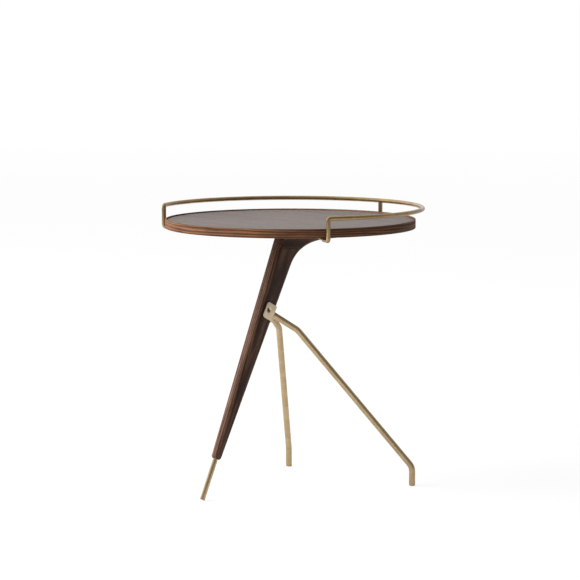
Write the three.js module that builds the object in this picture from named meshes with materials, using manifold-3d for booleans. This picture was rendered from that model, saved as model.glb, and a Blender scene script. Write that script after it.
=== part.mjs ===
// Round walnut side table on three feet: one tapered walnut leg under a walnut arm, two bent
// brass legs that grow out of a folded bracket on the leg's back, and a brass gallery rail
// round two thirds of the top.
//
// Millimetres, +Z up. The table is drawn with the top's centre line on the Z axis and the floor
// at z = 0. X runs across the table. Y runs from the walnut leg's foot (-Y, where the rail is
// open) to the back (+Y, between the two brass feet). The table is its own mirror image in X.

import * as THREE from 'three';
import { mergeVertices } from 'three/addons/utils/BufferGeometryUtils.js';
import Module from 'manifold-3d';

const wasm = await Module();
wasm.setup();

// ---------------------------------------------------------------- driving dimensions

const FIT_GAP = 0.3; // air left between neighbouring pieces that are cut to each other
const RING_SIDES = 96; // facets round the top
const ROD_SIDES = 18; // facets round a rod
const SMALL_SIDES = 20; // facets round screws, dowels and holes
const END_SIDES = 28; // facets round the eyes of the rail and the forms that round rod ends
const BEND_STEPS = 8; // rings round each bend of a leg rod
const TIGHT_BEND_STEPS = 7; // rings round each tight bend of the rail
const ROUNDING_STEPS = 5; // facets round a rounded end or a long rounded edge
const PAST = 1; // a cutter starts this far outside the face that it enters
const CLEAR = 60; // blocks and cutters reach this far past a small piece
const FAR = 500; // and this far past the whole table

// round top
const TOP_RADIUS = 225;
const TOP_UNDERSIDE = 470; // height of the underside above the floor
const VENEER = 0.5;
const CORE_THICKNESS = 13;
const LIP_HEIGHT = 2; // the edge band stands this far above the veneer
const BAND_WIDTH = 3.5;
const BAND_EDGE = 1; // broken corners of the edge band
const PANEL_GAP = 0.25; // glue line between the panel and the edge band

// gallery rail
const RAIL_ROD = 3.9; // rod radius
const RAIL_RADIUS = 237.5; // centre line of the arc
const RAIL_HEIGHT = 505; // centre line above the floor
const RAIL_HALF_ANGLE = 119.5; // degrees from the back to each end post
const RAIL_BEND = 4.6; // centre line radius of the tight bends
const RAIL_ARC_STEPS = 72;
const HOOK_REACH = 38; // each hook runs this far inwards under the top
const TAB_RADIUS = 8; // flattened eye at the end of each hook
const TAB_THICKNESS = 3;
const RAIL_SCREW_SHANK = 2;
const RAIL_SCREW_HEAD = 4.5;
const RAIL_SCREW_HEAD_HEIGHT = 2.4;
const RAIL_SCREW_LENGTH = 13;

// walnut leg, measured in the table's middle plane
const LEG_FRONT = { y: -34, z: 448.9, tilt: 23.3 }; // a point on the front face and its tilt
const LEG_BACK = { y: -17.6, z: 381.9, tilt: 27.5 }; // the same for the back face
const LEG_TOP_WIDTH = 24; // across the leg, in X, where it meets the top
const LEG_END_WIDTH = 17; // across the leg at its lower end
const LEG_ROUNDING = 7; // radius of the leg's long edges
const LEG_END = { y: -188.9, z: 70.6 }; // middle of the leg's lower end
const LEG_END_ROUNDING = 5;
const ARM_BOTTOM = 444; // height of the arm's lower edge
const ARM_LENGTH = 130; // from the table's centre to the tip of the arm
const ARM_NOSE = 16; // rounding of the tip
const ARM_SEAM = 433; // height of the glue line between the leg and the arm on top of it
const LEG_SPARE = { front: 1, back: -7, top: 12 }; // the outline is drawn past its ends by this
const LEG_CURVE_STEPS = 14; // facets along the fillet and the tip of the arm
const LEG_END_FLARE = { out: 2, up: 60 }; // how the form that rounds the lower end widens upwards
const FILLET = { lowZ: 402.8, lowPull: 28.5, highY: 90, highPull: 53.6 }; // curve from leg to arm

// brass tip of the walnut leg
const TIP_ROD = 4.5;
const TIP_TILT = 25.5; // degrees from upright
const TIP_TENON = 40; // length let into the walnut

// folded bracket, measured along and square to the leg's back face
const BRACKET_Z = 316.9; // height at the middle of the bracket, on the leg's back face
const BRACKET_LENGTH = 29.5;
const BRACKET_DEPTH = 28; // how far the cheeks reach forward of the leg's back face
const BRACKET_SHEET = 2;
const BRACKET_BEND = 6.5; // inside radius of the folds
const BRACKET_CORNER = 5;
const CHEEK_INSIDE = 11.1; // from the middle plane to the inside of a cheek
const BOLT_FROM_EDGE = 9; // from the cheek's front edge to the bolt
const BOLT_ABOVE_MIDDLE = 1.5;
const BOLT_HEAD = 4;
const BOLT_LENGTH = 19;
const SLEEVE_LENGTH = 17;
const SLEEVE_BORE_START = 4; // depth of the solid end of the sleeve nut
const BOLT_SHANK = 2.2;
const SLEEVE_RADIUS = 3.3;
const HEX_SOCKET = 1.9;
const HEX_SOCKET_DEPTH = 1.5;

// brass legs, the one at +X; the other is its mirror image
const LEG_ROD = 5.6;
const LEG_START = { x: 3, alongBracket: 1.4 }; // where its centre line meets the bracket
const LEG_KNEE = { x: 23.4, y: -5.4, z: 286.7 }; // bend below the bracket
const LEG_FOOT = { x: 156.5, y: 155.5 };
const LEG_ANKLE_Z = 34.3; // height of the bend above the foot
const KNEE_BEND = 30;
const ANKLE_BEND = 22;
const FOOT_ROUNDING = 2.4;
const FOOT_FLARE = { out: 0.5, up: 4 }; // how the form that rounds a foot widens upwards
const LEG_ROD_SPARE = 12; // each leg rod is drawn this much too long, then cut to the bracket

// joinery between the arm and the top
const SCREW_Y = [30, 75, 120];
const DOWEL_Y = [-5, 52];
const SCREW_SEAT = 458; // height of the seat that the screw heads bear on
const SCREW_TOP = 480;
const SCREW_SHANK = 2.5;
const SCREW_HEAD = 5;
const SCREW_HEAD_HEIGHT = 3;
const INSERT_RADIUS = 4.5;
const INSERT_TOP = 481;
const DOWEL_RADIUS = 4;
const DOWEL_BOTTOM = 450;
const DOWEL_TOP = 480;
const JOINT_DOWEL_Y = [-26, -10]; // dowels between the leg and the arm
const JOINT_DOWEL_BOTTOM = 419;
const JOINT_DOWEL_TOP = 447;

// ---------------------------------------------------------------- worked out from them

const PANEL_RADIUS = TOP_RADIUS - BAND_WIDTH - PANEL_GAP;
const CORE_BOTTOM = TOP_UNDERSIDE + VENEER;
const CORE_TOP = CORE_BOTTOM + CORE_THICKNESS;
const TRAY_SURFACE = CORE_TOP + VENEER;
const LIP_TOP = TRAY_SURFACE + LIP_HEIGHT;
const HOOK_HEIGHT = TOP_UNDERSIDE - FIT_GAP - RAIL_ROD;
const BOUNDS_SHIFT = (TOP_RADIUS - (RAIL_RADIUS + RAIL_ROD)) / 2; // brings the outline's middle to y = 0

const rad = THREE.MathUtils.degToRad;

// ---------------------------------------------------------------- materials

const finish = (color, roughness, metalness) =>
	new THREE.MeshStandardMaterial({ color, roughness, metalness });

const walnut = () => finish(0x5b4031, 0.55, 0);
const walnutVeneer = () => finish(0x65503f, 0.45, 0);
const coreBoard = () => finish(0xb58f62, 0.85, 0);
const beech = () => finish(0xc9a673, 0.8, 0);
const satinBrass = () => finish(0xb49a6e, 0.35, 1);
const steel = () => finish(0x8f9296, 0.4, 1);

// ---------------------------------------------------------------- solids and cuts

/** A manifold solid from any closed three.js geometry. One that is a solid already stays as it is. */
function toSolid(shape) {
	if (shape instanceof wasm.Manifold) {
		return shape;
	}
	const shell = shape.clone();
	shell.deleteAttribute('normal');
	shell.deleteAttribute('uv');
	const merged = mergeVertices(shell, 1e-4);
	return new wasm.Manifold(new wasm.Mesh({
		numProp: 3,
		vertProperties: new Float32Array(merged.attributes.position.array),
		triVerts: new Uint32Array(merged.index.array),
	}));
}

/** A three.js geometry from a manifold solid. One that is a geometry already stays as it is. */
function toGeometry(shape) {
	if (shape instanceof THREE.BufferGeometry) {
		return shape;
	}
	const mesh = shape.getMesh();
	const geometry = new THREE.BufferGeometry();
	geometry.setAttribute('position', new THREE.BufferAttribute(mesh.vertProperties, 3));
	geometry.setIndex(new THREE.BufferAttribute(mesh.triVerts, 1));
	geometry.computeVertexNormals();
	return geometry;
}

/** The first shape with every other one cut out of it. */
function cut(body, ...tools) {
	return tools.reduce((solid, tool) => solid.subtract(toSolid(tool)), toSolid(body));
}

/** All the shapes joined to one body. */
function join(body, ...others) {
	return others.reduce((solid, other) => solid.add(toSolid(other)), toSolid(body));
}

/** What the two shapes share. */
function common(body, other) {
	return toSolid(body).intersect(toSolid(other));
}

/** A turned solid round Z. The profile is [radius, height] pairs, up the outside. */
function turned(profile, sides = SMALL_SIDES) {
	const points = profile.map(([radius, height]) => new THREE.Vector2(radius, height));
	return new THREE.LatheGeometry(points, sides).rotateX(Math.PI / 2);
}

/** An upright cylinder at (x, y) from one height to another. */
function upright(radius, bottom, top, x = 0, y = 0, sides = SMALL_SIDES) {
	const cylinder = new THREE.CylinderGeometry(radius, radius, top - bottom, sides);
	return cylinder.rotateX(Math.PI / 2).translate(x, y, (bottom + top) / 2);
}

/** A block given by its lowest and highest corners. */
function block(low, high) {
	const size = high.map((value, axis) => value - low[axis]);
	const middle = high.map((value, axis) => (value + low[axis]) / 2);
	return new THREE.BoxGeometry(...size).translate(...middle);
}

/** Turns an outline drawn in (y, z) and extruded upwards into one that is extruded along X. */
function layAcross(geometry) {
	const across = new THREE.Matrix4().makeBasis(
		new THREE.Vector3(0, 1, 0), new THREE.Vector3(0, 0, 1), new THREE.Vector3(1, 0, 0));
	return geometry.applyMatrix4(across);
}

// ---------------------------------------------------------------- bent rods

/** A path through given stations, each a point and a direction, so bends can be fine and runs long. */
class RodPath extends THREE.Curve {
	constructor(stations) {
		super();
		this.stations = stations;
	}

	station(u) {
		return this.stations[Math.round(u * (this.stations.length - 1))];
	}

	getPointAt(u) {
		return this.station(u).point.clone();
	}

	getTangentAt(u) {
		return this.station(u).direction.clone();
	}
}

/** Stations along straight runs between corners, with each inner corner bent to a radius. */
function bentRun(corners, bendRadii, stepsPerBend) {
	const last = corners.length - 1;
	const directions = corners.slice(1).map((corner, i) => corner.clone().sub(corners[i]).normalize());
	const stations = [{ point: corners[0].clone(), direction: directions[0] }];
	for (let i = 1; i < last; i += 1) {
		const into = directions[i - 1];
		const out = directions[i];
		const turn = into.angleTo(out);
		const setback = bendRadii[i - 1] * Math.tan(turn / 2);
		const inward = out.clone().sub(into.clone().multiplyScalar(into.dot(out))).normalize();
		const bendStart = corners[i].clone().addScaledVector(into, -setback);
		const centre = bendStart.clone().addScaledVector(inward, bendRadii[i - 1]);
		for (let step = 0; step <= stepsPerBend; step += 1) {
			const angle = turn * step / stepsPerBend;
			const direction = into.clone().multiplyScalar(Math.cos(angle)).addScaledVector(inward, Math.sin(angle));
			const spoke = inward.clone().multiplyScalar(-Math.cos(angle)).addScaledVector(into, Math.sin(angle));
			stations.push({ point: centre.clone().addScaledVector(spoke, bendRadii[i - 1]), direction });
		}
	}
	stations.push({ point: corners[last].clone(), direction: directions[last - 1] });
	return stations;
}

/** A round rod along the stations. */
function rod(stations, radius, sides = ROD_SIDES) {
	const ring = [];
	for (let i = 0; i < sides; i += 1) {
		const angle = 2 * Math.PI * i / sides;
		ring.push(new THREE.Vector2(radius * Math.cos(angle), radius * Math.sin(angle)));
	}
	return new THREE.ExtrudeGeometry(new THREE.Shape(ring), {
		steps: stations.length - 1,
		extrudePath: new RodPath(stations),
		bevelEnabled: false,
	});
}

// ---------------------------------------------------------------- assembly helper

const table = new THREE.Group();
table.position.y = BOUNDS_SHIFT;

/** Adds one named piece to the table and returns it, so that it can be placed. */
function addPiece(name, shape, material) {
	const mesh = new THREE.Mesh(toGeometry(shape), material);
	mesh.name = name;
	table.add(mesh);
	return mesh;
}

// ---------------------------------------------------------------- top

/** Points where the three rail tabs are screwed up into the core. */
const tabPlaces = [0, RAIL_HALF_ANGLE, -RAIL_HALF_ANGLE].map((angle) => ({
	x: (RAIL_RADIUS - HOOK_REACH) * Math.sin(rad(angle)),
	y: (RAIL_RADIUS - HOOK_REACH) * Math.cos(rad(angle)),
}));

const railScrewTop = HOOK_HEIGHT + RAIL_ROD - TAB_THICKNESS + RAIL_SCREW_LENGTH;

/** Cutters for everything that is driven into the panel from below. */
function panelHoles() {
	const start = TOP_UNDERSIDE - PAST;
	return [
		...SCREW_Y.map((y) => upright(INSERT_RADIUS + FIT_GAP, start, INSERT_TOP + FIT_GAP, 0, y)),
		...DOWEL_Y.map((y) => upright(DOWEL_RADIUS + FIT_GAP, start, DOWEL_TOP + FIT_GAP, 0, y)),
		...tabPlaces.map(({ x, y }) =>
			upright(RAIL_SCREW_SHANK + FIT_GAP, start, railScrewTop + FIT_GAP, x, y)),
	];
}

function edgeBand() {
	const inside = TOP_RADIUS - BAND_WIDTH;
	return turned([
		[inside, TOP_UNDERSIDE],
		[TOP_RADIUS - BAND_EDGE, TOP_UNDERSIDE],
		[TOP_RADIUS - BAND_EDGE * 0.3, TOP_UNDERSIDE + BAND_EDGE * 0.3],
		[TOP_RADIUS, TOP_UNDERSIDE + BAND_EDGE],
		[TOP_RADIUS, LIP_TOP - BAND_EDGE],
		[TOP_RADIUS - BAND_EDGE * 0.3, LIP_TOP - BAND_EDGE * 0.3],
		[TOP_RADIUS - BAND_EDGE, LIP_TOP],
		[inside + BAND_EDGE / 2, LIP_TOP],
		[inside, LIP_TOP - BAND_EDGE / 2],
		[inside, TOP_UNDERSIDE],
	], RING_SIDES);
}

function buildTop() {
	const disc = (bottom, top) => upright(PANEL_RADIUS, bottom, top, 0, 0, RING_SIDES);
	addPiece('top_core_panel', cut(disc(CORE_BOTTOM, CORE_TOP), ...panelHoles()), coreBoard());
	addPiece('underside_veneer', cut(disc(TOP_UNDERSIDE, CORE_BOTTOM), ...panelHoles()), walnutVeneer());
	addPiece('top_veneer', disc(CORE_TOP, TRAY_SURFACE), walnutVeneer());
	addPiece('edge_band', edgeBand(), walnut());
}

// ---------------------------------------------------------------- walnut leg and its brass tip

/** Where a tilted face of the leg is at a given height. */
const faceY = (face, z) => face.y + (z - face.z) * Math.tan(rad(face.tilt));

/** Side view of the leg and its arm, in (y, z), a little longer than needed at both ends. */
function legOutline() {
	const frontLow = LEG_END.z + LEG_SPARE.front;
	const backLow = LEG_END.z + LEG_SPARE.back;
	const high = TOP_UNDERSIDE + LEG_SPARE.top;
	const tilt = rad(LEG_BACK.tilt);
	const filletLowY = faceY(LEG_BACK, FILLET.lowZ);
	const outline = new THREE.Shape();
	outline.moveTo(faceY(LEG_FRONT, high), high);
	outline.lineTo(faceY(LEG_FRONT, frontLow), frontLow);
	outline.lineTo(faceY(LEG_BACK, backLow), backLow);
	outline.lineTo(filletLowY, FILLET.lowZ);
	outline.bezierCurveTo(
		filletLowY + FILLET.lowPull * Math.sin(tilt), FILLET.lowZ + FILLET.lowPull * Math.cos(tilt),
		FILLET.highY - FILLET.highPull, ARM_BOTTOM,
		FILLET.highY, ARM_BOTTOM);
	outline.lineTo(ARM_LENGTH - ARM_NOSE, ARM_BOTTOM);
	outline.quadraticCurveTo(ARM_LENGTH, ARM_BOTTOM, ARM_LENGTH, ARM_BOTTOM + ARM_NOSE);
	outline.lineTo(ARM_LENGTH, high);
	outline.closePath();
	return outline;
}

/** The leg's blank: the outline with rounded edges, thinned evenly towards the foot. */
function legBlank() {
	const blank = layAcross(new THREE.ExtrudeGeometry(legOutline(), {
		depth: LEG_TOP_WIDTH - 2 * LEG_ROUNDING,
		bevelThickness: LEG_ROUNDING,
		bevelSize: LEG_ROUNDING,
		bevelOffset: -LEG_ROUNDING,
		bevelSegments: ROUNDING_STEPS,
		curveSegments: LEG_CURVE_STEPS,
	}));
	const points = blank.attributes.position;
	for (let i = 0; i < points.count; i += 1) {
		const rise = (points.getZ(i) - LEG_END.z) / (TOP_UNDERSIDE - LEG_END.z);
		const width = LEG_END_WIDTH + (LEG_TOP_WIDTH - LEG_END_WIDTH) * rise;
		const centred = points.getX(i) - (LEG_TOP_WIDTH - 2 * LEG_ROUNDING) / 2;
		points.setX(i, centred - Math.sign(centred) * (LEG_TOP_WIDTH - width) / 2);
	}
	return blank;
}

/** Moves something drawn upright on the Z axis so that it stands on the leg's lower end, along the leg. */
function alongTip(geometry) {
	return geometry.rotateX(-rad(TIP_TILT)).translate(0, LEG_END.y, LEG_END.z);
}

/** A long bullet, blunt end down, whose inside is where the leg's wood may be. */
function legEndForm() {
	const radius = LEG_END_WIDTH / 2;
	const profile = [[0, 0]];
	for (let step = 0; step <= ROUNDING_STEPS; step += 1) {
		const angle = rad(90 * step / ROUNDING_STEPS);
		profile.push([
			radius - LEG_END_ROUNDING * (1 - Math.sin(angle)),
			LEG_END_ROUNDING * (1 - Math.cos(angle)),
		]);
	}
	const { out, up } = LEG_END_FLARE;
	profile.push([radius + out, up], [FAR, up + PAST], [FAR, up + FAR], [0, up + FAR]);
	return alongTip(turned(profile, END_SIDES));
}

/** The holes on both sides of the glue line between the leg and the arm. */
const jointHoles = () => JOINT_DOWEL_Y.map((y) =>
	upright(DOWEL_RADIUS + FIT_GAP, JOINT_DOWEL_BOTTOM - FIT_GAP, JOINT_DOWEL_TOP + FIT_GAP, 0, y));

/** Every hole in the walnut leg. */
function legHoles() {
	const tenon = alongTip(upright(TIP_ROD + FIT_GAP, -LEG_END_ROUNDING, TIP_TENON + FIT_GAP));
	const boltHoleRadius = SLEEVE_RADIUS + FIT_GAP;
	const bolt = onBracket(acrossBracket(
		new THREE.CylinderGeometry(boltHoleRadius, boltHoleRadius, CLEAR, SMALL_SIDES)));
	return [tenon, bolt, ...jointHoles()];
}

/** Every hole in the walnut arm. */
function armHoles() {
	const screws = SCREW_Y.flatMap((y) => [
		upright(SCREW_HEAD + FIT_GAP * 2, ARM_BOTTOM - CLEAR, SCREW_SEAT, 0, y),
		upright(SCREW_SHANK + FIT_GAP, SCREW_SEAT - PAST, TOP_UNDERSIDE + PAST, 0, y),
	]);
	const dowels = DOWEL_Y.map((y) =>
		upright(DOWEL_RADIUS + FIT_GAP, DOWEL_BOTTOM - FIT_GAP, TOP_UNDERSIDE + PAST, 0, y));
	return [...screws, ...dowels, ...jointHoles()];
}

function buildWalnutLeg() {
	const aboveTop = block([-CLEAR, -FAR, TOP_UNDERSIDE], [CLEAR, FAR, TOP_UNDERSIDE + CLEAR]);
	const shaped = common(cut(legBlank(), aboveTop), legEndForm());
	const aboveSeam = block([-CLEAR, -FAR, ARM_SEAM - FIT_GAP], [CLEAR, FAR, TOP_UNDERSIDE + CLEAR]);
	const belowSeam = block([-CLEAR, -FAR, -CLEAR], [CLEAR, FAR, ARM_SEAM]);
	addPiece('walnut_leg', cut(shaped, aboveSeam, ...legHoles()), walnut());
	addPiece('walnut_arm', cut(shaped, belowSeam, ...armHoles()), walnut());

	const tipLength = (LEG_END.z - TIP_ROD * Math.sin(rad(TIP_TILT))) / Math.cos(rad(TIP_TILT));
	addPiece('brass_tip_rod', alongTip(upright(TIP_ROD, -tipLength, TIP_TENON)), satinBrass());
}

// ---------------------------------------------------------------- folded bracket and its bolt

const bracketY = faceY(LEG_BACK, BRACKET_Z);

/** Moves something drawn in the bracket's own axes (y out of the leg's back, z up the leg) into place. */
function onBracket(geometry) {
	return geometry.rotateX(-rad(LEG_BACK.tilt)).translate(0, bracketY, BRACKET_Z);
}

/** Turns a shape that stands along Y to lie along X, through the bolt's place in the bracket. */
function acrossBracket(geometry) {
	return geometry.rotateZ(-Math.PI / 2).translate(0, BOLT_FROM_EDGE - BRACKET_DEPTH, BOLT_ABOVE_MIDDLE);
}

/** The folded strip seen from above, in (x, y): a U with round folds, left a little long in front. */
function bracketSection() {
	const inside = CHEEK_INSIDE;
	const outside = inside + BRACKET_SHEET;
	const back = FIT_GAP;
	const front = -BRACKET_DEPTH - PAST;
	const outerBend = BRACKET_BEND + BRACKET_SHEET;
	const section = new THREE.Shape();
	section.moveTo(outside, front);
	section.lineTo(outside, back + BRACKET_SHEET - outerBend);
	section.absarc(outside - outerBend, back + BRACKET_SHEET - outerBend, outerBend, 0, Math.PI / 2);
	section.lineTo(-outside + outerBend, back + BRACKET_SHEET);
	section.absarc(-outside + outerBend, back + BRACKET_SHEET - outerBend, outerBend, Math.PI / 2, Math.PI);
	section.lineTo(-outside, front);
	section.lineTo(-inside, front);
	section.lineTo(-inside, back - BRACKET_BEND);
	section.absarc(-inside + BRACKET_BEND, back - BRACKET_BEND, BRACKET_BEND, Math.PI, Math.PI / 2, true);
	section.lineTo(inside - BRACKET_BEND, back);
	section.absarc(inside - BRACKET_BEND, back - BRACKET_BEND, BRACKET_BEND, Math.PI / 2, 0, true);
	section.lineTo(inside, front);
	section.closePath();
	return section;
}

/** Side view of the bracket, in (y, z), with its two front corners rounded. */
function bracketSide() {
	const half = BRACKET_LENGTH / 2;
	const corner = BRACKET_CORNER;
	const side = new THREE.Shape();
	side.moveTo(BRACKET_BEND, half);
	side.lineTo(-BRACKET_DEPTH + corner, half);
	side.absarc(-BRACKET_DEPTH + corner, half - corner, corner, Math.PI / 2, Math.PI);
	side.absarc(-BRACKET_DEPTH + corner, -half + corner, corner, Math.PI, 1.5 * Math.PI);
	side.lineTo(BRACKET_BEND, -half);
	side.closePath();
	return side;
}

/** Turned profile of a countersunk head and a plain stem, point down from the outer face at y = 0. */
function countersunk(headRadius, stemRadius, length) {
	const taper = headRadius - stemRadius;
	return [[0, -length], [stemRadius, -length], [stemRadius, -taper], [headRadius, 0], [0, 0]];
}

/** A solid turned round Y from [radius, height] pairs. */
function turnedOnY(profile) {
	return new THREE.LatheGeometry(profile.map(([r, y]) => new THREE.Vector2(r, y)), SMALL_SIDES);
}

/** Places a fixing drawn point down under y = 0 into one cheek of the bracket, head outwards. */
function intoCheek(geometry, side) {
	const outside = CHEEK_INSIDE + BRACKET_SHEET;
	geometry.translate(0, outside, 0);
	if (side < 0) {
		geometry.rotateZ(Math.PI);
	}
	return onBracket(acrossBracket(geometry));
}

function buildBracket() {
	const strip = new THREE.ExtrudeGeometry(bracketSection(), {
		depth: 2 * BRACKET_LENGTH, bevelEnabled: false, curveSegments: BEND_STEPS,
	}).translate(0, 0, -BRACKET_LENGTH);
	const side = layAcross(new THREE.ExtrudeGeometry(bracketSide(), {
		depth: CLEAR, bevelEnabled: false, curveSegments: ROUNDING_STEPS,
	})).translate(-CLEAR / 2, 0, 0);
	const folded = common(onBracket(strip), onBracket(side));
	const holeHead = BOLT_HEAD + FIT_GAP;
	const holeDepth = 3 * BRACKET_SHEET;
	const boltHole = countersunk(holeHead, BOLT_SHANK + FIT_GAP, holeDepth);
	const sleeveHole = countersunk(holeHead, SLEEVE_RADIUS + FIT_GAP, holeDepth);
	addPiece('leg_bracket', cut(folded,
		intoCheek(turnedOnY(boltHole), 1), intoCheek(turnedOnY(sleeveHole), -1)), satinBrass());

	const socket = (cheek) =>
		intoCheek(new THREE.CylinderGeometry(HEX_SOCKET, HEX_SOCKET, 2 * HEX_SOCKET_DEPTH, 6), cheek);
	const bolt = intoCheek(turnedOnY(countersunk(BOLT_HEAD, BOLT_SHANK, BOLT_LENGTH)), 1);
	addPiece('bracket_bolt', cut(bolt, socket(1)), satinBrass());

	const sleeve = intoCheek(turnedOnY(countersunk(BOLT_HEAD, SLEEVE_RADIUS, SLEEVE_LENGTH)), -1);
	const boreRadius = BOLT_SHANK + FIT_GAP;
	const boreEnd = -SLEEVE_LENGTH - PAST;
	const boreStart = -SLEEVE_BORE_START;
	const boreProfile = [[0, boreEnd], [boreRadius, boreEnd], [boreRadius, boreStart], [0, boreStart]];
	const bore = intoCheek(turnedOnY(boreProfile), -1);
	addPiece('bracket_sleeve_nut', cut(sleeve, bore, socket(-1)), satinBrass());
}

// ---------------------------------------------------------------- brass legs

/** A bullet standing on the floor, wide above, that rounds a rod's upright lower end. */
function footForm(x, y) {
	const profile = [[0, 0]];
	for (let step = 0; step <= ROUNDING_STEPS; step += 1) {
		const angle = rad(90 * step / ROUNDING_STEPS);
		profile.push([
			LEG_ROD - FOOT_ROUNDING * (1 - Math.sin(angle)),
			FOOT_ROUNDING * (1 - Math.cos(angle)),
		]);
	}
	const { out, up } = FOOT_FLARE;
	profile.push([LEG_ROD + out, FOOT_ROUNDING + up], [FAR, FOOT_ROUNDING + up + PAST], [FAR, FAR], [0, FAR]);
	return turned(profile, END_SIDES).translate(x, y, 0);
}

/** The brass leg on one side: out of the bracket, down and outwards, then upright to the floor. */
function brassLeg(side) {
	const tilt = rad(LEG_BACK.tilt);
	const webFace = FIT_GAP + BRACKET_SHEET;
	const along = LEG_START.alongBracket;
	const start = new THREE.Vector3(side * LEG_START.x,
		bracketY + webFace * Math.cos(tilt) + along * Math.sin(tilt),
		BRACKET_Z - webFace * Math.sin(tilt) + along * Math.cos(tilt));
	const knee = new THREE.Vector3(side * LEG_KNEE.x, LEG_KNEE.y, LEG_KNEE.z);
	const ankle = new THREE.Vector3(side * LEG_FOOT.x, LEG_FOOT.y, LEG_ANKLE_Z);
	const foot = new THREE.Vector3(side * LEG_FOOT.x, LEG_FOOT.y, -PAST);
	const early = start.clone().addScaledVector(knee.clone().sub(start).normalize(), -LEG_ROD_SPARE);

	const bent = rod(bentRun([early, knee, ankle, foot], [KNEE_BEND, ANKLE_BEND], BEND_STEPS), LEG_ROD);
	const bracketSpace = onBracket(block([-CLEAR, -CLEAR, -CLEAR], [CLEAR, webFace + FIT_GAP, CLEAR]));
	const otherHalf = side > 0
		? block([-CLEAR, -FAR, 0], [FIT_GAP / 2, FAR, FAR])
		: block([-FIT_GAP / 2, -FAR, 0], [CLEAR, FAR, FAR]);
	return common(cut(bent, bracketSpace, otherHalf), footForm(foot.x, foot.y));
}

function buildBrassLegs() {
	addPiece('brass_leg_right', brassLeg(1), satinBrass());
	addPiece('brass_leg_left', brassLeg(-1), satinBrass());
}

// ---------------------------------------------------------------- gallery rail

/** A point at a radius and an angle from the back (+Y), towards +X. */
function polar(radius, angle, height) {
	return new THREE.Vector3(radius * Math.sin(rad(angle)), radius * Math.cos(rad(angle)), height);
}

/** Corners from the end of a hook, under the top, out to the post and up it. */
function postCorners(angle) {
	return [
		polar(RAIL_RADIUS - HOOK_REACH + TAB_RADIUS * 0.7, angle, HOOK_HEIGHT),
		polar(RAIL_RADIUS, angle, HOOK_HEIGHT),
		polar(RAIL_RADIUS, angle, RAIL_HEIGHT),
	];
}

/** The flattened, drilled eye at the end of a hook, flat against the underside. */
function tab(angle) {
	const top = HOOK_HEIGHT + RAIL_ROD;
	const centre = polar(RAIL_RADIUS - HOOK_REACH, angle, 0);
	return upright(TAB_RADIUS, top - TAB_THICKNESS, top, centre.x, centre.y, END_SIDES);
}

/** The screw hole through a tab, with room for the head below it. */
function tabHole(angle) {
	const centre = polar(RAIL_RADIUS - HOOK_REACH, angle, 0);
	const seat = HOOK_HEIGHT + RAIL_ROD - TAB_THICKNESS;
	return join(
		upright(RAIL_SCREW_SHANK + FIT_GAP, seat - PAST, seat + TAB_THICKNESS + PAST, centre.x, centre.y),
		upright(RAIL_SCREW_HEAD + FIT_GAP, seat - TAB_RADIUS, seat, centre.x, centre.y));
}

/** The long rod: hook, post, arc, post, hook. */
function railRod() {
	const bendAngle = THREE.MathUtils.radToDeg(RAIL_BEND / RAIL_RADIUS);
	const corners = postCorners(-RAIL_HALF_ANGLE);
	const intoArc = polar(RAIL_BEND, 90 - RAIL_HALF_ANGLE, 0);
	corners.push(corners[corners.length - 1].clone().add(intoArc));
	const lead = bentRun(corners, [RAIL_BEND, RAIL_BEND], TIGHT_BEND_STEPS).slice(0, -1);

	const arc = [];
	const first = bendAngle - RAIL_HALF_ANGLE;
	for (let step = 1; step < RAIL_ARC_STEPS; step += 1) {
		const angle = first - 2 * first * step / RAIL_ARC_STEPS;
		arc.push({ point: polar(RAIL_RADIUS, angle, RAIL_HEIGHT), direction: polar(1, angle + 90, 0) });
	}
	const mirrored = lead.map(({ point, direction }) => ({
		point: new THREE.Vector3(-point.x, point.y, point.z),
		direction: new THREE.Vector3(direction.x, -direction.y, -direction.z),
	})).reverse();
	return rod([...lead, ...arc, ...mirrored], RAIL_ROD);
}

function buildRail() {
	const ends = [-RAIL_HALF_ANGLE, RAIL_HALF_ANGLE];
	const rail = cut(join(railRod(), ...ends.map(tab)), ...ends.map(tabHole));
	addPiece('gallery_rail', rail, satinBrass());

	const post = rod(bentRun(postCorners(0), [RAIL_BEND], TIGHT_BEND_STEPS), RAIL_ROD);
	const nearRail = [-4, -2, 0, 2, 4].map((angle) => ({ // degrees either side of the post
		point: polar(RAIL_RADIUS, angle, RAIL_HEIGHT), direction: polar(1, angle + 90, 0),
	}));
	const coping = rod(nearRail, RAIL_ROD + FIT_GAP);
	addPiece('rail_rear_post', cut(join(post, tab(0)), tabHole(0), coping), satinBrass());
}

// ---------------------------------------------------------------- screws, inserts and dowels

/** A pan-head screw, head down, drawn from the seat at z = 0. */
function screw(headRadius, headHeight, shankRadius, length) {
	const body = turned([
		[0, -headHeight],
		[headRadius * 0.7, -headHeight],
		[headRadius, -headHeight * 0.5],
		[headRadius, 0],
		[shankRadius, 0],
		[shankRadius, length - shankRadius],
		[0, length],
	]);
	return cut(body, upright(headRadius * 0.4, -headHeight - PAST, -headHeight * 0.45, 0, 0, 6));
}

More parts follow.
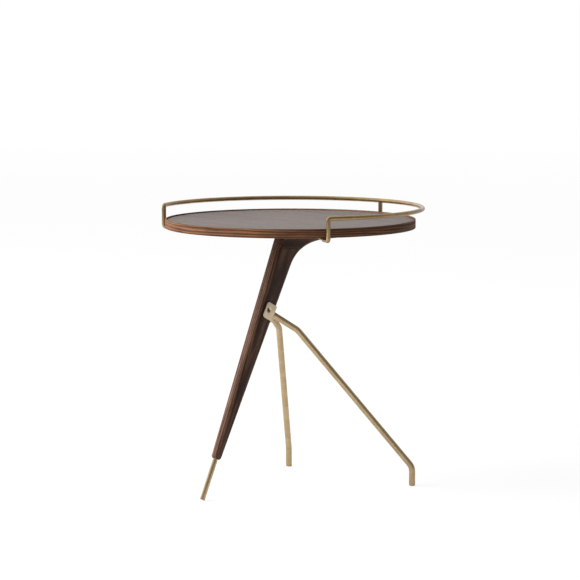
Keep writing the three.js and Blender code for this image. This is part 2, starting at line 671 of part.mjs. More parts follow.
function buildFixings() {
	SCREW_Y.forEach((y, i) => {
		const legScrew = screw(SCREW_HEAD, SCREW_HEAD_HEIGHT, SCREW_SHANK, SCREW_TOP - SCREW_SEAT);
		addPiece(`leg_screw_${i + 1}`, legScrew, steel()).position.set(0, y, SCREW_SEAT);

		const sleeve = upright(INSERT_RADIUS, CORE_BOTTOM, INSERT_TOP);
		const thread = upright(SCREW_SHANK + FIT_GAP, CORE_BOTTOM - PAST, SCREW_TOP + FIT_GAP);
		addPiece(`threaded_insert_${i + 1}`, cut(sleeve, thread), satinBrass()).position.set(0, y, 0);
	});
	DOWEL_Y.forEach((y, i) => {
		const dowel = upright(DOWEL_RADIUS, DOWEL_BOTTOM, DOWEL_TOP);
		addPiece(`leg_dowel_${i + 1}`, dowel, beech()).position.set(0, y, 0);
	});
	JOINT_DOWEL_Y.forEach((y, i) => {
		const dowel = upright(DOWEL_RADIUS, JOINT_DOWEL_BOTTOM, JOINT_DOWEL_TOP);
		addPiece(`joint_dowel_${i + 1}`, dowel, beech()).position.set(0, y, 0);
	});
	tabPlaces.forEach(({ x, y }, i) => {
		const seat = HOOK_HEIGHT + RAIL_ROD - TAB_THICKNESS;
		const railScrew = screw(
			RAIL_SCREW_HEAD, RAIL_SCREW_HEAD_HEIGHT, RAIL_SCREW_SHANK, RAIL_SCREW_LENGTH);
		addPiece(`rail_screw_${i + 1}`, railScrew, satinBrass()).position.set(x, y, seat);
	});
}

buildTop();
buildWalnutLeg();
buildBracket();
buildBrassLegs();
buildRail();
buildFixings();

export default table;
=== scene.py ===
# %% [markdown]
# # A round walnut side table with a brass rail
# The CAD model of the table is loaded first. It stays where it is: every piece made below is
# put in the same place, in metres, with the floor at z = 0. The walnut leg's foot is towards -Y,
# and the two brass feet are towards +Y.

# %% Load the frame
import math
import bmesh
import bpy
import numpy as np
from mathutils import Matrix, Vector


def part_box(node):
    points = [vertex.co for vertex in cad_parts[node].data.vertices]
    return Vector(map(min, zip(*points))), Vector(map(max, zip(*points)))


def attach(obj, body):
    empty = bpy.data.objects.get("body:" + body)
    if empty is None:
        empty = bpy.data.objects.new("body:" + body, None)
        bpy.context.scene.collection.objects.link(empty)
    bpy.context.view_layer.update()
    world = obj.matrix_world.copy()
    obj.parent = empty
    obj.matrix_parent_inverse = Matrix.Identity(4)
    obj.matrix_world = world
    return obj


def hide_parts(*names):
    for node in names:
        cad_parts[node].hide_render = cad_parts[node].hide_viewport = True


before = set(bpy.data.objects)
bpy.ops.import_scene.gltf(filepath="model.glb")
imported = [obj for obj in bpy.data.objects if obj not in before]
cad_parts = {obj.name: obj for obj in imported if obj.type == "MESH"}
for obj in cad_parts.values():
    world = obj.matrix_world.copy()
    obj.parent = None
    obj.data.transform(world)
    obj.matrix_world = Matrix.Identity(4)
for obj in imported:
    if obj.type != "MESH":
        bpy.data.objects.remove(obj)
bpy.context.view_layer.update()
MM = 0.001

band_low, band_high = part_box("edge_band")
AXIS = Vector((0, (band_low.y + band_high.y) / 2, 0))  # the middle of the round top
TOP_RADIUS = (band_high.x - band_low.x) / 2
print("middle of the top", tuple(round(v, 4) for v in AXIS), "radius", round(TOP_RADIUS, 4))

# %% [markdown]
# ## Small helpers
# In a window, a modeller clicks a piece, goes into edit mode and picks faces by eye. Here the
# picking is done by a test on place or direction. Everything is deselected first, because an
# operator acts on whatever is selected, and the CAD pieces are selected after loading.

# %% Helpers for adding, opening and picking
def add_primitive(operator, name, **settings):
    """Adds a primitive with nothing else selected, and puts its place into its mesh."""
    bpy.ops.object.select_all(action="DESELECT")
    operator(**settings)
    piece = bpy.context.active_object
    piece.name = piece.data.name = name
    bpy.ops.object.transform_apply(location=True, rotation=True, scale=True)
    return piece


def select_only(piece):
    """Selects one piece and nothing else, and makes it the active one."""
    bpy.ops.object.select_all(action="DESELECT")
    piece.select_set(True)
    bpy.context.view_layer.objects.active = piece


def open_piece(piece):
    """Selects one piece and goes into edit mode."""
    select_only(piece)
    bpy.ops.object.mode_set(mode="EDIT")


def close_piece():
    """Back to object mode."""
    bpy.ops.object.mode_set(mode="OBJECT")


def pick(piece, kind, test):
    """In edit mode, selects only the vertices, edges or faces that pass the test."""
    bpy.ops.mesh.select_mode(type=kind)
    bpy.ops.mesh.select_all(action="DESELECT")
    mesh = bmesh.from_edit_mesh(piece.data)
    items = {"VERT": mesh.verts, "EDGE": mesh.edges, "FACE": mesh.faces}[kind]
    found = [item for item in items if test(item)]
    for item in found:
        item.select_set(True)
    mesh.select_flush_mode()
    bmesh.update_edit_mesh(piece.data)
    return len(found)


def middle(item):
    """The middle of an edge or face."""
    points = [vertex.co for vertex in item.verts]
    return sum(points, Vector()) / len(points)


def apply_modifier(piece, kind, **settings):
    """Adds a modifier and applies it at once."""
    bpy.context.view_layer.objects.active = piece
    modifier = piece.modifiers.new(kind.title(), kind)
    for name, value in settings.items():
        setattr(modifier, name, value)
    bpy.ops.object.modifier_apply(modifier=modifier.name)


def cut_out(piece, cutter):
    """Cuts one mesh out of another, then throws the cutter away."""
    apply_modifier(piece, "BOOLEAN", object=cutter, operation="DIFFERENCE", solver="EXACT")
    bpy.data.objects.remove(cutter)


def tidy_mesh(piece, merge=0.00001):
    """Merges doubled vertices and turns every face outwards."""
    open_piece(piece)
    bpy.ops.mesh.select_all(action="SELECT")
    bpy.ops.mesh.remove_doubles(threshold=merge)
    bpy.ops.mesh.normals_make_consistent(inside=False)
    close_piece()


def finish_piece(piece, material, nodes, smooth_angle=35):
    """Smooth shading, the finish, the CAD body it rides on and the CAD nodes it stands for."""
    select_only(piece)
    bpy.ops.object.shade_smooth_by_angle(angle=math.radians(smooth_angle))
    piece.data.materials.clear()
    piece.data.materials.append(material)
    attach(piece, "root")
    if nodes:
        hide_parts(*nodes)
    size = [round(v * 1000, 1) for v in piece.dimensions]
    print(f"{piece.name}: {size} mm, {len(piece.data.polygons)} faces")


# %% [markdown]
# ## Camera, floor and light
# A product picture is taken from far away with a long lens, so that the table keeps its true
# proportions. The light is one large soft source on the left, hidden from reflections, and a
# white room behind. The side of the room behind the camera is dim, which is what draws the dark
# lines in the brass. The floor is paper that reads as an even white and takes faint shadows.

# %% Camera
CAMERA_AZIMUTH = math.radians(44.48)
CAMERA_DISTANCE = 5.7273
CAMERA_HEIGHT = 0.9665
CAMERA_PITCH = 0.10606  # radians below level
CAMERA_LENS = 198.57
CAMERA_SHIFT = -0.0006  # a small sideways shift of the picture

towards_camera = Vector((math.sin(CAMERA_AZIMUTH), -math.cos(CAMERA_AZIMUTH), 0))
camera_right = Vector((-towards_camera.y, towards_camera.x, 0))
bpy.ops.object.camera_add(
    location=AXIS + towards_camera * CAMERA_DISTANCE + Vector((0, 0, CAMERA_HEIGHT)),
    rotation=(math.pi / 2 - CAMERA_PITCH, 0, CAMERA_AZIMUTH))
camera = bpy.context.active_object
camera.data.lens = CAMERA_LENS
camera.data.sensor_width = 36
camera.data.clip_end = 200
camera.data.shift_x = CAMERA_SHIFT
bpy.context.scene.camera = camera
bpy.context.scene.view_settings.view_transform = "Standard"
bpy.context.scene.view_settings.look = "None"
print("camera at", tuple(round(v, 3) for v in camera.location))


# %% Nodes are made and joined with two short helpers
def new_material(name):
    """A material with nothing in it but its output."""
    material = bpy.data.materials.new(name)
    material.use_nodes = True
    material.node_tree.nodes.clear()
    return material


def put(tree, kind, settings=None, **inputs):
    """Adds a node. Settings are its own choices; inputs are values or other nodes' outputs."""
    node = tree.nodes.new(kind)
    for name, value in (settings or {}).items():
        setattr(node, name, value)
    for name, value in inputs.items():
        socket = node.inputs[int(name[1:]) if name[0] == "_" else name.replace("_", " ")]
        if isinstance(value, bpy.types.NodeSocket):
            tree.links.new(value, socket)
        else:
            socket.default_value = value
    return node


def maths(tree, operation, first, second=0.0, third=0.0):
    """One Math node; gives its output."""
    return put(tree, "ShaderNodeMath", {"operation": operation}, _0=first, _1=second,
               _2=third).outputs[0]


def ramp(tree, factor, stops):
    """A colour ramp from (place, colour) pairs; gives its colour output."""
    node = put(tree, "ShaderNodeValToRGB", _0=factor)
    points = node.color_ramp.elements
    points[0].position, points[0].color = stops[0][0], (*stops[0][1], 1)
    points[1].position, points[1].color = stops[-1][0], (*stops[-1][1], 1)
    for place, colour in stops[1:-1]:
        points.new(place).color = (*colour, 1)
    return node.outputs["Color"]


def rescale(tree, value, low, high, new_low, new_high, steps="LINEAR"):
    """Maps a range of values onto another; gives the result."""
    settings = {"interpolation_type": steps}
    return put(tree, "ShaderNodeMapRange", settings, _0=value, _1=low, _2=high, _3=new_low,
               _4=new_high).outputs[0]


def mix_colour(tree, factor, first, second):
    """Mixes two colours; gives the result."""
    settings = {"data_type": "RGBA", "blend_type": "MIX"}
    return put(tree, "ShaderNodeMix", settings, _0=factor, _6=first, _7=second).outputs[2]


# %% Floor
FLOOR_SIDE = 90
bpy.ops.object.select_all(action="DESELECT")
bpy.ops.mesh.primitive_plane_add(size=FLOOR_SIDE, location=(0, 0, 0))
floor = bpy.context.active_object
floor.name = "studio_floor"

paper = new_material("white_paper_floor")
tree = paper.node_tree
spot = put(tree, "ShaderNodeTexCoord").outputs["Object"]
reach = put(tree, "ShaderNodeVectorMath", {"operation": "LENGTH"}, _0=spot).outputs["Value"]
white = put(tree, "ShaderNodeBsdfDiffuse", Color=rescale(tree, reach, 1.0, 12.0, 0.2, 0.345))
lift = put(tree, "ShaderNodeEmission", Color=(1, 1, 1, 1), Strength=0.775)
lifted = put(tree, "ShaderNodeAddShader", _0=white.outputs[0], _1=lift.outputs[0])
mirrored = put(tree, "ShaderNodeBsdfDiffuse", Color=(0.60, 0.60, 0.60, 1))
dimmer = put(tree, "ShaderNodeBsdfDiffuse", Color=(0.42, 0.42, 0.42, 1))
path = put(tree, "ShaderNodeLightPath")
unseen = put(tree, "ShaderNodeMixShader", _0=path.outputs["Is Glossy Ray"], _1=dimmer.outputs[0],
             _2=mirrored.outputs[0])
seen = put(tree, "ShaderNodeMixShader", _0=path.outputs["Is Camera Ray"], _1=unseen.outputs[0],
           _2=lifted.outputs[0])
side = put(tree, "ShaderNodeNewGeometry")
clear = put(tree, "ShaderNodeBsdfTransparent")
surface = put(tree, "ShaderNodeMixShader", _0=side.outputs["Backfacing"], _1=seen.outputs[0],
              _2=clear.outputs[0])
put(tree, "ShaderNodeOutputMaterial", Surface=surface.outputs[0])
floor.data.materials.append(paper)
print("floor", FLOOR_SIDE, "m across")

# %% Room light
world = bpy.data.worlds.new("studio")
world.use_nodes = True
bpy.context.scene.world = world
tree = world.node_tree
tree.nodes.clear()
direction = put(tree, "ShaderNodeTexCoord").outputs["Generated"]
depth = put(tree, "ShaderNodeVectorMath", {"operation": "DOT_PRODUCT"}, _0=direction,
            _1=towards_camera).outputs["Value"]
across = put(tree, "ShaderNodeVectorMath", {"operation": "DOT_PRODUCT"}, _0=direction,
             _1=camera_right).outputs["Value"]
behind = rescale(tree, depth, -0.3, 0.8, 0.88, 0.28, "SMOOTHSTEP")
leftwards = rescale(tree, across, -1.0, 0.9, 1.5, 0.55, "SMOOTHSTEP")
glow = maths(tree, "MULTIPLY", behind, leftwards)
background = put(tree, "ShaderNodeBackground", Color=(1, 1, 1, 1), Strength=glow)
put(tree, "ShaderNodeOutputWorld", Surface=background.outputs[0])

KEY_SIDE = -3.2  # metres to the left of the table
KEY_FORWARD = 0.55
KEY_HEIGHT = 2.1
KEY_SIZE = 3.6
KEY_POWER = 320
key_place = AXIS + camera_right * KEY_SIDE + towards_camera * KEY_FORWARD
key_place.z = KEY_HEIGHT
aim = (AXIS + Vector((0, 0, 0.3)) - key_place).to_track_quat("-Z", "Y").to_euler()
bpy.ops.object.light_add(type="AREA", location=key_place, rotation=aim)
bpy.context.active_object.visible_glossy = False  # the room alone shows in the brass
key = bpy.context.active_object.data
key.shape = "SQUARE"
key.size = KEY_SIZE
key.energy = KEY_POWER
print("key light at", tuple(round(v, 2) for v in key_place))

# %% [markdown]
# ## Walnut
# Walnut is a brown wood with long growth lines, wandering streaks of nearly black and of warm
# tan, and short open pores that look like fine dashes. All of it runs along the grain. The
# pattern is worked out in a space whose Z runs along the grain, squeezed there so that every
# feature comes out long. Three finishes share it, so it is a node group.


# %% Walnut figure group
def new_group(name, inputs, outputs):
    """A node group with named sockets; gives its tree, its input node and its output node."""
    tree = bpy.data.node_groups.new(name, "ShaderNodeTree")
    for label, kind, value in inputs:
        socket = tree.interface.new_socket(label, in_out="INPUT", socket_type=kind)
        if value is not None:
            socket.default_value = value
    for label, kind in outputs:
        tree.interface.new_socket(label, in_out="OUTPUT", socket_type=kind)
    return tree, tree.nodes.new("NodeGroupInput"), tree.nodes.new("NodeGroupOutput")


def make_walnut_group():
    """Colour, roughness and height of oiled walnut whose grain runs along the vector's Z."""
    tree, given, result = new_group(
        "walnut_figure",
        [("Vector", "NodeSocketVector", None), ("Dark", "NodeSocketColor", (0.03, 0.016, 0.012, 1)),
         ("Mid", "NodeSocketColor", (0.09, 0.048, 0.032, 1)),
         ("Light", "NodeSocketColor", (0.17, 0.09, 0.055, 1)),
         ("Gloss", "NodeSocketFloat", 0.42)],
        [("Color", "NodeSocketColor"), ("Roughness", "NodeSocketFloat"),
         ("Height", "NodeSocketFloat")])
    along = put(tree, "ShaderNodeMapping", Vector=given.outputs["Vector"], Scale=(1, 1, 0.055))
    drift = put(tree, "ShaderNodeTexNoise", Vector=along.outputs[0], Scale=26, Detail=3,
                Roughness=0.5)
    bent = put(tree, "ShaderNodeVectorMath", {"operation": "MULTIPLY_ADD"},
               _0=drift.outputs["Color"], _1=(0.03, 0.03, 0.0), _2=along.outputs[0]).outputs[0]
    lines = put(tree, "ShaderNodeTexWave", {"bands_direction": "X"}, Vector=bent, Scale=74,
                Distortion=2.6, Detail=3, Detail_Scale=1.4, Detail_Roughness=0.6)
    streaks = put(tree, "ShaderNodeTexNoise", Vector=bent, Scale=240, Detail=5, Roughness=0.62)
    broad = put(tree, "ShaderNodeTexNoise", Vector=bent, Scale=34, Detail=2)
    figure = maths(tree, "MULTIPLY_ADD", lines.outputs["Fac"], 0.30,
                   maths(tree, "MULTIPLY_ADD", streaks.outputs["Fac"], 0.62,
                         maths(tree, "MULTIPLY", broad.outputs["Fac"], 0.26)))
    figure = rescale(tree, figure, 0.36, 0.84, 0.0, 1.0)
    lower = mix_colour(tree, rescale(tree, figure, 0.0, 0.5, 0.0, 1.0), given.outputs["Dark"],
                       given.outputs["Mid"])
    colour = mix_colour(tree, rescale(tree, figure, 0.5, 1.0, 0.0, 1.0), lower,
                        given.outputs["Light"])
    dashes = put(tree, "ShaderNodeMapping", Vector=given.outputs["Vector"], Scale=(1, 1, 0.035))
    pores = put(tree, "ShaderNodeTexNoise", Vector=dashes.outputs[0], Scale=1500, Detail=1)
    pore = rescale(tree, pores.outputs["Fac"], 0.60, 0.70, 0.0, 1.0, "SMOOTHSTEP")
    colour = mix_colour(tree, maths(tree, "MULTIPLY", pore, 0.5), colour, given.outputs["Dark"])
    tree.links.new(colour, result.inputs["Color"])
    rough = maths(tree, "MULTIPLY_ADD", pore, 0.18,
                  maths(tree, "MULTIPLY_ADD", streaks.outputs["Fac"], 0.16, given.outputs["Gloss"]))
    tree.links.new(rough, result.inputs["Roughness"])
    height = maths(tree, "MULTIPLY_ADD", pore, -0.7, maths(tree, "MULTIPLY", figure, 0.5))
    tree.links.new(height, result.inputs["Height"])
    return tree


WALNUT_GROUP = make_walnut_group()
print("walnut group with", len(WALNUT_GROUP.nodes), "nodes")


# %% Walnut finishes
def walnut_finish(name, vector, dark, mid, light, gloss, specular, bump):
    """An oiled walnut material; vector builds the grain space inside the material."""
    material = new_material(name)
    tree = material.node_tree
    figure = put(tree, "ShaderNodeGroup", {"node_tree": WALNUT_GROUP}, Vector=vector(tree),
                 Dark=(*dark, 1), Mid=(*mid, 1), Light=(*light, 1), Gloss=gloss)
    relief = put(tree, "ShaderNodeBump", Height=figure.outputs["Height"], Strength=bump,
                 Distance=0.0003)
    shader = put(tree, "ShaderNodeBsdfPrincipled", Base_Color=figure.outputs["Color"],
                 Roughness=figure.outputs["Roughness"], Normal=relief.outputs[0],
                 Specular_IOR_Level=specular)
    put(tree, "ShaderNodeOutputMaterial", Surface=shader.outputs[0])
    return material


def grain_along(turn, shift=(0, 0, 0)):
    """Object coordinates turned so that Z runs along the grain."""
    def build(tree):
        place = put(tree, "ShaderNodeTexCoord").outputs["Object"]
        return put(tree, "ShaderNodeMapping", Vector=place, Rotation=turn,
                   Location=shift).outputs[0]
    return build


def grain_on_band(tree):
    """The band's own map: across the band is X, and round the table is Z."""
    flat = put(tree, "ShaderNodeUVMap", {"uv_map": "round_the_top"}).outputs["UV"]
    parts = put(tree, "ShaderNodeSeparateXYZ", _0=flat)
    return put(tree, "ShaderNodeCombineXYZ", _0=parts.outputs["Y"], _1=0.37,
               _2=parts.outputs["X"]).outputs[0]


LEG_TILT = math.radians(25.4)
walnut_leg_finish = walnut_finish(
    "walnut_leg_oiled", grain_along((LEG_TILT, 0, 0), (0.013, 0.021, 0)),
    (0.026, 0.013, 0.009), (0.082, 0.039, 0.024), (0.19, 0.094, 0.055), 0.46, 0.25, 0.6)
walnut_arm_finish = walnut_finish(
    "walnut_arm_oiled", grain_along((math.radians(90), 0, 0), (0.03, 0.0, 0.05)),
    (0.026, 0.013, 0.009), (0.082, 0.039, 0.024), (0.19, 0.094, 0.055), 0.46, 0.25, 0.6)
walnut_band_finish = walnut_finish(
    "walnut_band_oiled", grain_on_band,
    (0.036, 0.016, 0.009), (0.125, 0.056, 0.028), (0.27, 0.126, 0.061), 0.50, 0.14, 0.5)
walnut_top_finish = walnut_finish(
    "walnut_top_veneer", grain_along((0, math.radians(90), 0)),
    (0.058, 0.039, 0.032), (0.088, 0.060, 0.048), (0.125, 0.087, 0.068), 0.35, 0.5, 0.35)
walnut_under_finish = walnut_finish(
    "walnut_underside_veneer", grain_along((0, math.radians(90), math.radians(4))),
    (0.052, 0.032, 0.024), (0.080, 0.048, 0.035), (0.115, 0.071, 0.050), 0.52, 0.4, 0.4)

# %% [markdown]
# ## Satin brass
# The rods are brushed along their length and then lacquered, so the shine is soft and drawn out
# round the rod. A piece made of rod carries an attribute that says where each point is round and
# along the rod, and the brush lines follow it. The folded bracket has no such attribute: its
# brush lines run along its own length.


# %% Brushed brass group
def make_brass_group():
    """Colour, roughness and height of brushed brass whose brush lines run along Z."""
    tree, given, result = new_group(
        "brushed_brass",
        [("Vector", "NodeSocketVector", None), ("Bright", "NodeSocketColor", (0.6, 0.46, 0.28, 1)),
         ("Dull", "NodeSocketColor", (0.44, 0.32, 0.18, 1)), ("Gloss", "NodeSocketFloat", 0.3)],
        [("Color", "NodeSocketColor"), ("Roughness", "NodeSocketFloat"),
         ("Height", "NodeSocketFloat")])
    hair = put(tree, "ShaderNodeMapping", Vector=given.outputs["Vector"], Scale=(1, 1, 0.03))
    lines = put(tree, "ShaderNodeTexNoise", Vector=hair.outputs[0], Scale=2600, Detail=2,
                Roughness=0.6)
    cloud = put(tree, "ShaderNodeTexNoise", Vector=given.outputs["Vector"], Scale=45, Detail=4,
                Roughness=0.55)
    worn = rescale(tree, cloud.outputs["Fac"], 0.35, 0.68, 0.0, 1.0, "SMOOTHSTEP")
    line = rescale(tree, lines.outputs["Fac"], 0.3, 0.7, 0.0, 1.0)
    mask = maths(tree, "MULTIPLY_ADD", line, 0.35, maths(tree, "MULTIPLY", worn, 0.65))
    colour = mix_colour(tree, mask, given.outputs["Dull"], given.outputs["Bright"])
    tree.links.new(colour, result.inputs["Color"])
    rough = maths(tree, "MULTIPLY_ADD", worn, -0.07,
                  maths(tree, "MULTIPLY_ADD", line, 0.08, given.outputs["Gloss"]))
    tree.links.new(rough, result.inputs["Roughness"])
    tree.links.new(line, result.inputs["Height"])
    return tree


BRASS_GROUP = make_brass_group()


def brass_finish(name, vector, bright, dull, gloss, bump=0.25):
    """A lacquered, brushed brass material."""
    material = new_material(name)
    tree = material.node_tree
    brushed = put(tree, "ShaderNodeGroup", {"node_tree": BRASS_GROUP}, Vector=vector(tree),
                  Bright=(*bright, 1), Dull=(*dull, 1), Gloss=gloss)
    relief = put(tree, "ShaderNodeBump", Height=brushed.outputs["Height"], Strength=bump,
                 Distance=0.00005)
    shader = put(tree, "ShaderNodeBsdfPrincipled", Base_Color=brushed.outputs["Color"],
                 Metallic=1.0, Roughness=brushed.outputs["Roughness"], Normal=relief.outputs[0])
    put(tree, "ShaderNodeOutputMaterial", Surface=shader.outputs[0])
    return material


def along_the_rod(tree):
    """The rod's own attribute: round the rod in X and Y, along it in Z."""
    return put(tree, "ShaderNodeAttribute", {"attribute_name": "on_the_rod"}).outputs["Vector"]


BRIGHT_BRASS = (0.62, 0.465, 0.27)
DULL_BRASS = (0.50, 0.365, 0.20)
rod_finish = brass_finish("satin_brass_rod", along_the_rod, BRIGHT_BRASS, DULL_BRASS, 0.30)
rail_finish = brass_finish("satin_brass_rail", along_the_rod, (0.48, 0.335, 0.175),
                           (0.36, 0.24, 0.115), 0.2)
# Partly painted reflection: the sheet brass is set far lighter than the rod brass. This is partly
# the sheet's own brass colour and partly the bright light its flat cheeks reflect.
sheet_finish_painted_reflection = brass_finish("satin_brass_sheet_painted_reflection", grain_along((math.radians(27.5), 0, 0)),
                            (0.86, 0.72, 0.51), (0.76, 0.62, 0.42), 0.38)
# Painted shade: the bolt and sleeve-nut brass is much darker than the rod brass, standing in for
# the shade inside their sunken heads.
bolt_finish_painted_shade = brass_finish("satin_brass_bolt_painted_shade", grain_along((0, math.radians(90), 0)),
                           (0.30, 0.215, 0.12), (0.20, 0.14, 0.075), 0.42)
print("finishes", [material.name for material in bpy.data.materials])

# %% [markdown]
# ## Bending rods
# The rail and the legs are round brass rod, bent cold in a jig. The same is done here: a round
# end face is pushed along each straight run and swung round each bend with the spin operator.
# A curve with a bevel would be quicker, but its bends are not true arcs.


# %% Pushing and swinging an end face
def push(vector):
    """Extrudes the picked end face by a vector."""
    bpy.ops.mesh.extrude_region_move(TRANSFORM_OT_translate={"value": tuple(vector)})


def swing(centre, axis, angle, steps):
    """Swings the picked end face round an axis, right-handed, leaving a bent run behind it."""
    bpy.ops.mesh.spin(steps=steps, angle=-angle, center=tuple(centre), axis=tuple(axis))


def bend_at(before, corner, after, radius):
    """Start, end, centre, axis and angle of a round bend between two straight runs."""
    into, out = (corner - before).normalized(), (after - corner).normalized()
    angle = into.angle(out)
    setback = radius * math.tan(angle / 2)
    inward = (out - into * into.dot(out)).normalized()
    start = corner - into * setback
    return start, corner + out * setback, start + inward * radius, into.cross(inward), angle


def arc_points(start, centre, axis, angle, steps):
    """Points that a swung centre line passes through."""
    arm = start - centre
    return [centre + Matrix.Rotation(angle * i / steps, 3, axis) @ arm for i in range(1, steps + 1)]


def follow_corners(corners, radii, steps=10):
    """Pushes and swings the picked end face along straight runs and bends; gives its path."""
    here, path = corners[0], [corners[0]]
    for before, corner, after, radius in zip(corners, corners[1:], corners[2:], radii):
        start, end, centre, axis, angle = bend_at(before, corner, after, radius)
        push(start - here)
        swing(centre, axis, angle, steps)
        path += [start, *arc_points(start, centre, axis, angle, steps)]
        here = end
    push(corners[-1] - here)
    return path + [corners[-1]]


def start_rod(name, place, heading, radius, sides):
    """A round, filled end face to start a rod with, open in edit mode and picked."""
    rod = add_primitive(
        bpy.ops.mesh.primitive_circle_add, name, vertices=sides, radius=radius, fill_type="NGON",
        location=place, rotation=heading.to_track_quat("Z", "Y").to_euler())
    open_piece(rod)
    bpy.ops.mesh.select_mode(type="FACE")
    bpy.ops.mesh.select_all(action="SELECT")
    return rod


def map_rod(rod, path):
    """Writes where each vertex is round the rod (X, Y) and along it (Z)."""
    points = np.array([tuple(p) for p in path])
    steps = np.diff(points, axis=0)
    lengths = np.linalg.norm(steps, axis=1)
    keep = lengths > 1e-7
    points, steps, lengths = points[:-1][keep], steps[keep], lengths[keep]
    headings = steps / lengths[:, None]
    travelled = np.concatenate([[0], np.cumsum(lengths)[:-1]])
    sideways = np.cross(headings[0], [0.31, 0.17, 0.93])
    sides = []
    for heading in headings:
        sideways = sideways - heading * sideways.dot(heading)
        sideways = sideways / np.linalg.norm(sideways)
        sides.append(sideways)
    sides = np.array(sides)
    others = np.cross(headings, sides)
    mapped = []
    for vertex in rod.data.vertices:
        offset = np.array(vertex.co) - points
        run = np.clip((offset * headings).sum(1), 0, lengths)
        gap = np.linalg.norm(offset - headings * run[:, None], axis=1)
        best = int(gap.argmin())
        off = offset[best]
        mapped += [off @ sides[best], off @ others[best],
                   travelled[best] + off @ headings[best]]
    attribute = rod.data.attributes.new("on_the_rod", "FLOAT_VECTOR", "POINT")
    attribute.data.foreach_set("vector", mapped)
    return float(travelled[-1] + lengths[-1])


# %% [markdown]
# ## The gallery rail
# One long rod: it starts in a flattened, drilled eye under the top, runs outwards as a hook,
# turns up into a post, turns again into the arc round the back, and ends the same way on the
# other side. Half of it is bent here and mirrored. The eye is the rod's own end pressed flat, so
# it is the same end face pushed along while it is made wider and thinner.

# %% Sizes of the rail
rail_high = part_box("gallery_rail")[1]
RAIL_ROD = 3.9 * MM
RAIL_RADIUS = rail_high.x - RAIL_ROD  # centre line of the arc
RAIL_HEIGHT = rail_high.z - RAIL_ROD
HOOK_HEIGHT = band_low.z - 0.3 * MM - RAIL_ROD
RAIL_HALF_ANGLE = math.radians(119.5)
EYE_HOLE = 2.3 * MM
TIGHT_BEND = 4.6 * MM
EYE_DISTANCE = RAIL_RADIUS - 38 * MM  # from the table's axis to the eye's hole
# distance beyond the hole, half the width, half the thickness, from the eye's tip to round rod
EYE_SHAPE = [(-7.8, 2.4, 1.1), (-6.9, 4.6, 1.4), (-4.6, 6.8, 1.5), (0, 8.0, 1.5),
             (3.4, 7.3, 1.55), (6.6, 5.3, 2.3), (9.4, 4.1, 3.5), (11.5, 3.9, 3.9)]
ROD_SIDES = 32


# %% The hook that starts with an eye
def start_hook(name):
    """The flattened eye that starts a post's hook, at the back of the table; leaves its end picked.
    """
    top = HOOK_HEIGHT + RAIL_ROD
    places = [AXIS + Vector((0, EYE_DISTANCE + along * MM, top - thick * MM))
              for along, _, thick in EYE_SHAPE]
    hook = start_rod(name, places[0], Vector((0, 1, 0)), RAIL_ROD, ROD_SIDES)
    width, thick = RAIL_ROD, RAIL_ROD
    for i, (place, (_, new_width, new_thick)) in enumerate(zip(places, EYE_SHAPE)):
        if i:
            push(place - places[i - 1])
        bpy.ops.transform.resize(value=(new_width * MM / width, 1, new_thick * MM / thick),
                                 center_override=tuple(place))
        width, thick = new_width * MM, new_thick * MM
    return hook, places


def bore(piece, start, end, radius, sides=32):
    """Drills a round hole from one point to another."""
    run = end - start
    drill = add_primitive(
        bpy.ops.mesh.primitive_cylinder_add, "drill", vertices=sides, radius=radius,
        depth=run.length, location=(start + end) / 2,
        rotation=run.to_track_quat("Z", "Y").to_euler())
    cut_out(piece, drill)


def back_point(radius, height):
    """A point straight behind the table's axis."""
    return AXIS + Vector((0, radius, height))


# %% Half the rail, then its mirror image
rail, rail_path = start_hook("brass_gallery_rail")
tangent_turn = TIGHT_BEND / RAIL_RADIUS  # the bend uses up this much of the arc
leaving = Vector((math.cos(tangent_turn / 2), -math.sin(tangent_turn / 2), 0))
post_foot, post_top = back_point(RAIL_RADIUS, HOOK_HEIGHT), back_point(RAIL_RADIUS, RAIL_HEIGHT)
corners = [rail_path[-1], post_foot, post_top, post_top + leaving * TIGHT_BEND]
rail_path = rail_path[:-1] + follow_corners(corners, [TIGHT_BEND, TIGHT_BEND], 9)
arc_angle = RAIL_HALF_ANGLE - tangent_turn
centre = AXIS + Vector((0, 0, RAIL_HEIGHT))
swing(centre, Vector((0, 0, -1)), arc_angle, 90)
rail_path += arc_points(rail_path[-1], centre, Vector((0, 0, -1)), arc_angle, 90)
bpy.ops.mesh.delete(type="ONLY_FACE")  # the open end that the mirror image joins
close_piece()

turn = (Matrix.Translation(AXIS) @ Matrix.Rotation(RAIL_HALF_ANGLE, 4, "Z")
        @ Matrix.Translation(-AXIS))
rail.matrix_world = turn
bpy.ops.object.transform_apply(location=True, rotation=True, scale=True)
rail_path = [turn @ point for point in rail_path]
open_piece(rail)
pick(rail, "VERT", lambda vertex: abs(vertex.co.x) < 0.2 * MM and vertex.co.y > 0)
bpy.ops.transform.resize(value=(0, 1, 1), center_override=(0, 0, 0))
close_piece()
tidy_mesh(rail)
apply_modifier(rail, "MIRROR", use_mirror_merge=True, merge_threshold=0.05 * MM)
tidy_mesh(rail)
rail_path += [Vector((-p.x, p.y, p.z)) for p in reversed(rail_path[:-1])]
eye_angles = [-RAIL_HALF_ANGLE, RAIL_HALF_ANGLE]


def eye_hole(piece, angle):
    """Drills the screw hole through an eye."""
    place = AXIS + Vector((math.sin(angle), math.cos(angle), 0)) * EYE_DISTANCE
    bore(piece, place + Vector((0, 0, HOOK_HEIGHT - 5 * MM)),
         place + Vector((0, 0, HOOK_HEIGHT + 6 * MM)), EYE_HOLE)


for angle in eye_angles:
    eye_hole(rail, angle)
print("rail rod", round(map_rod(rail, rail_path), 3), "m long")
finish_piece(rail, rail_finish, ["gallery_rail"])

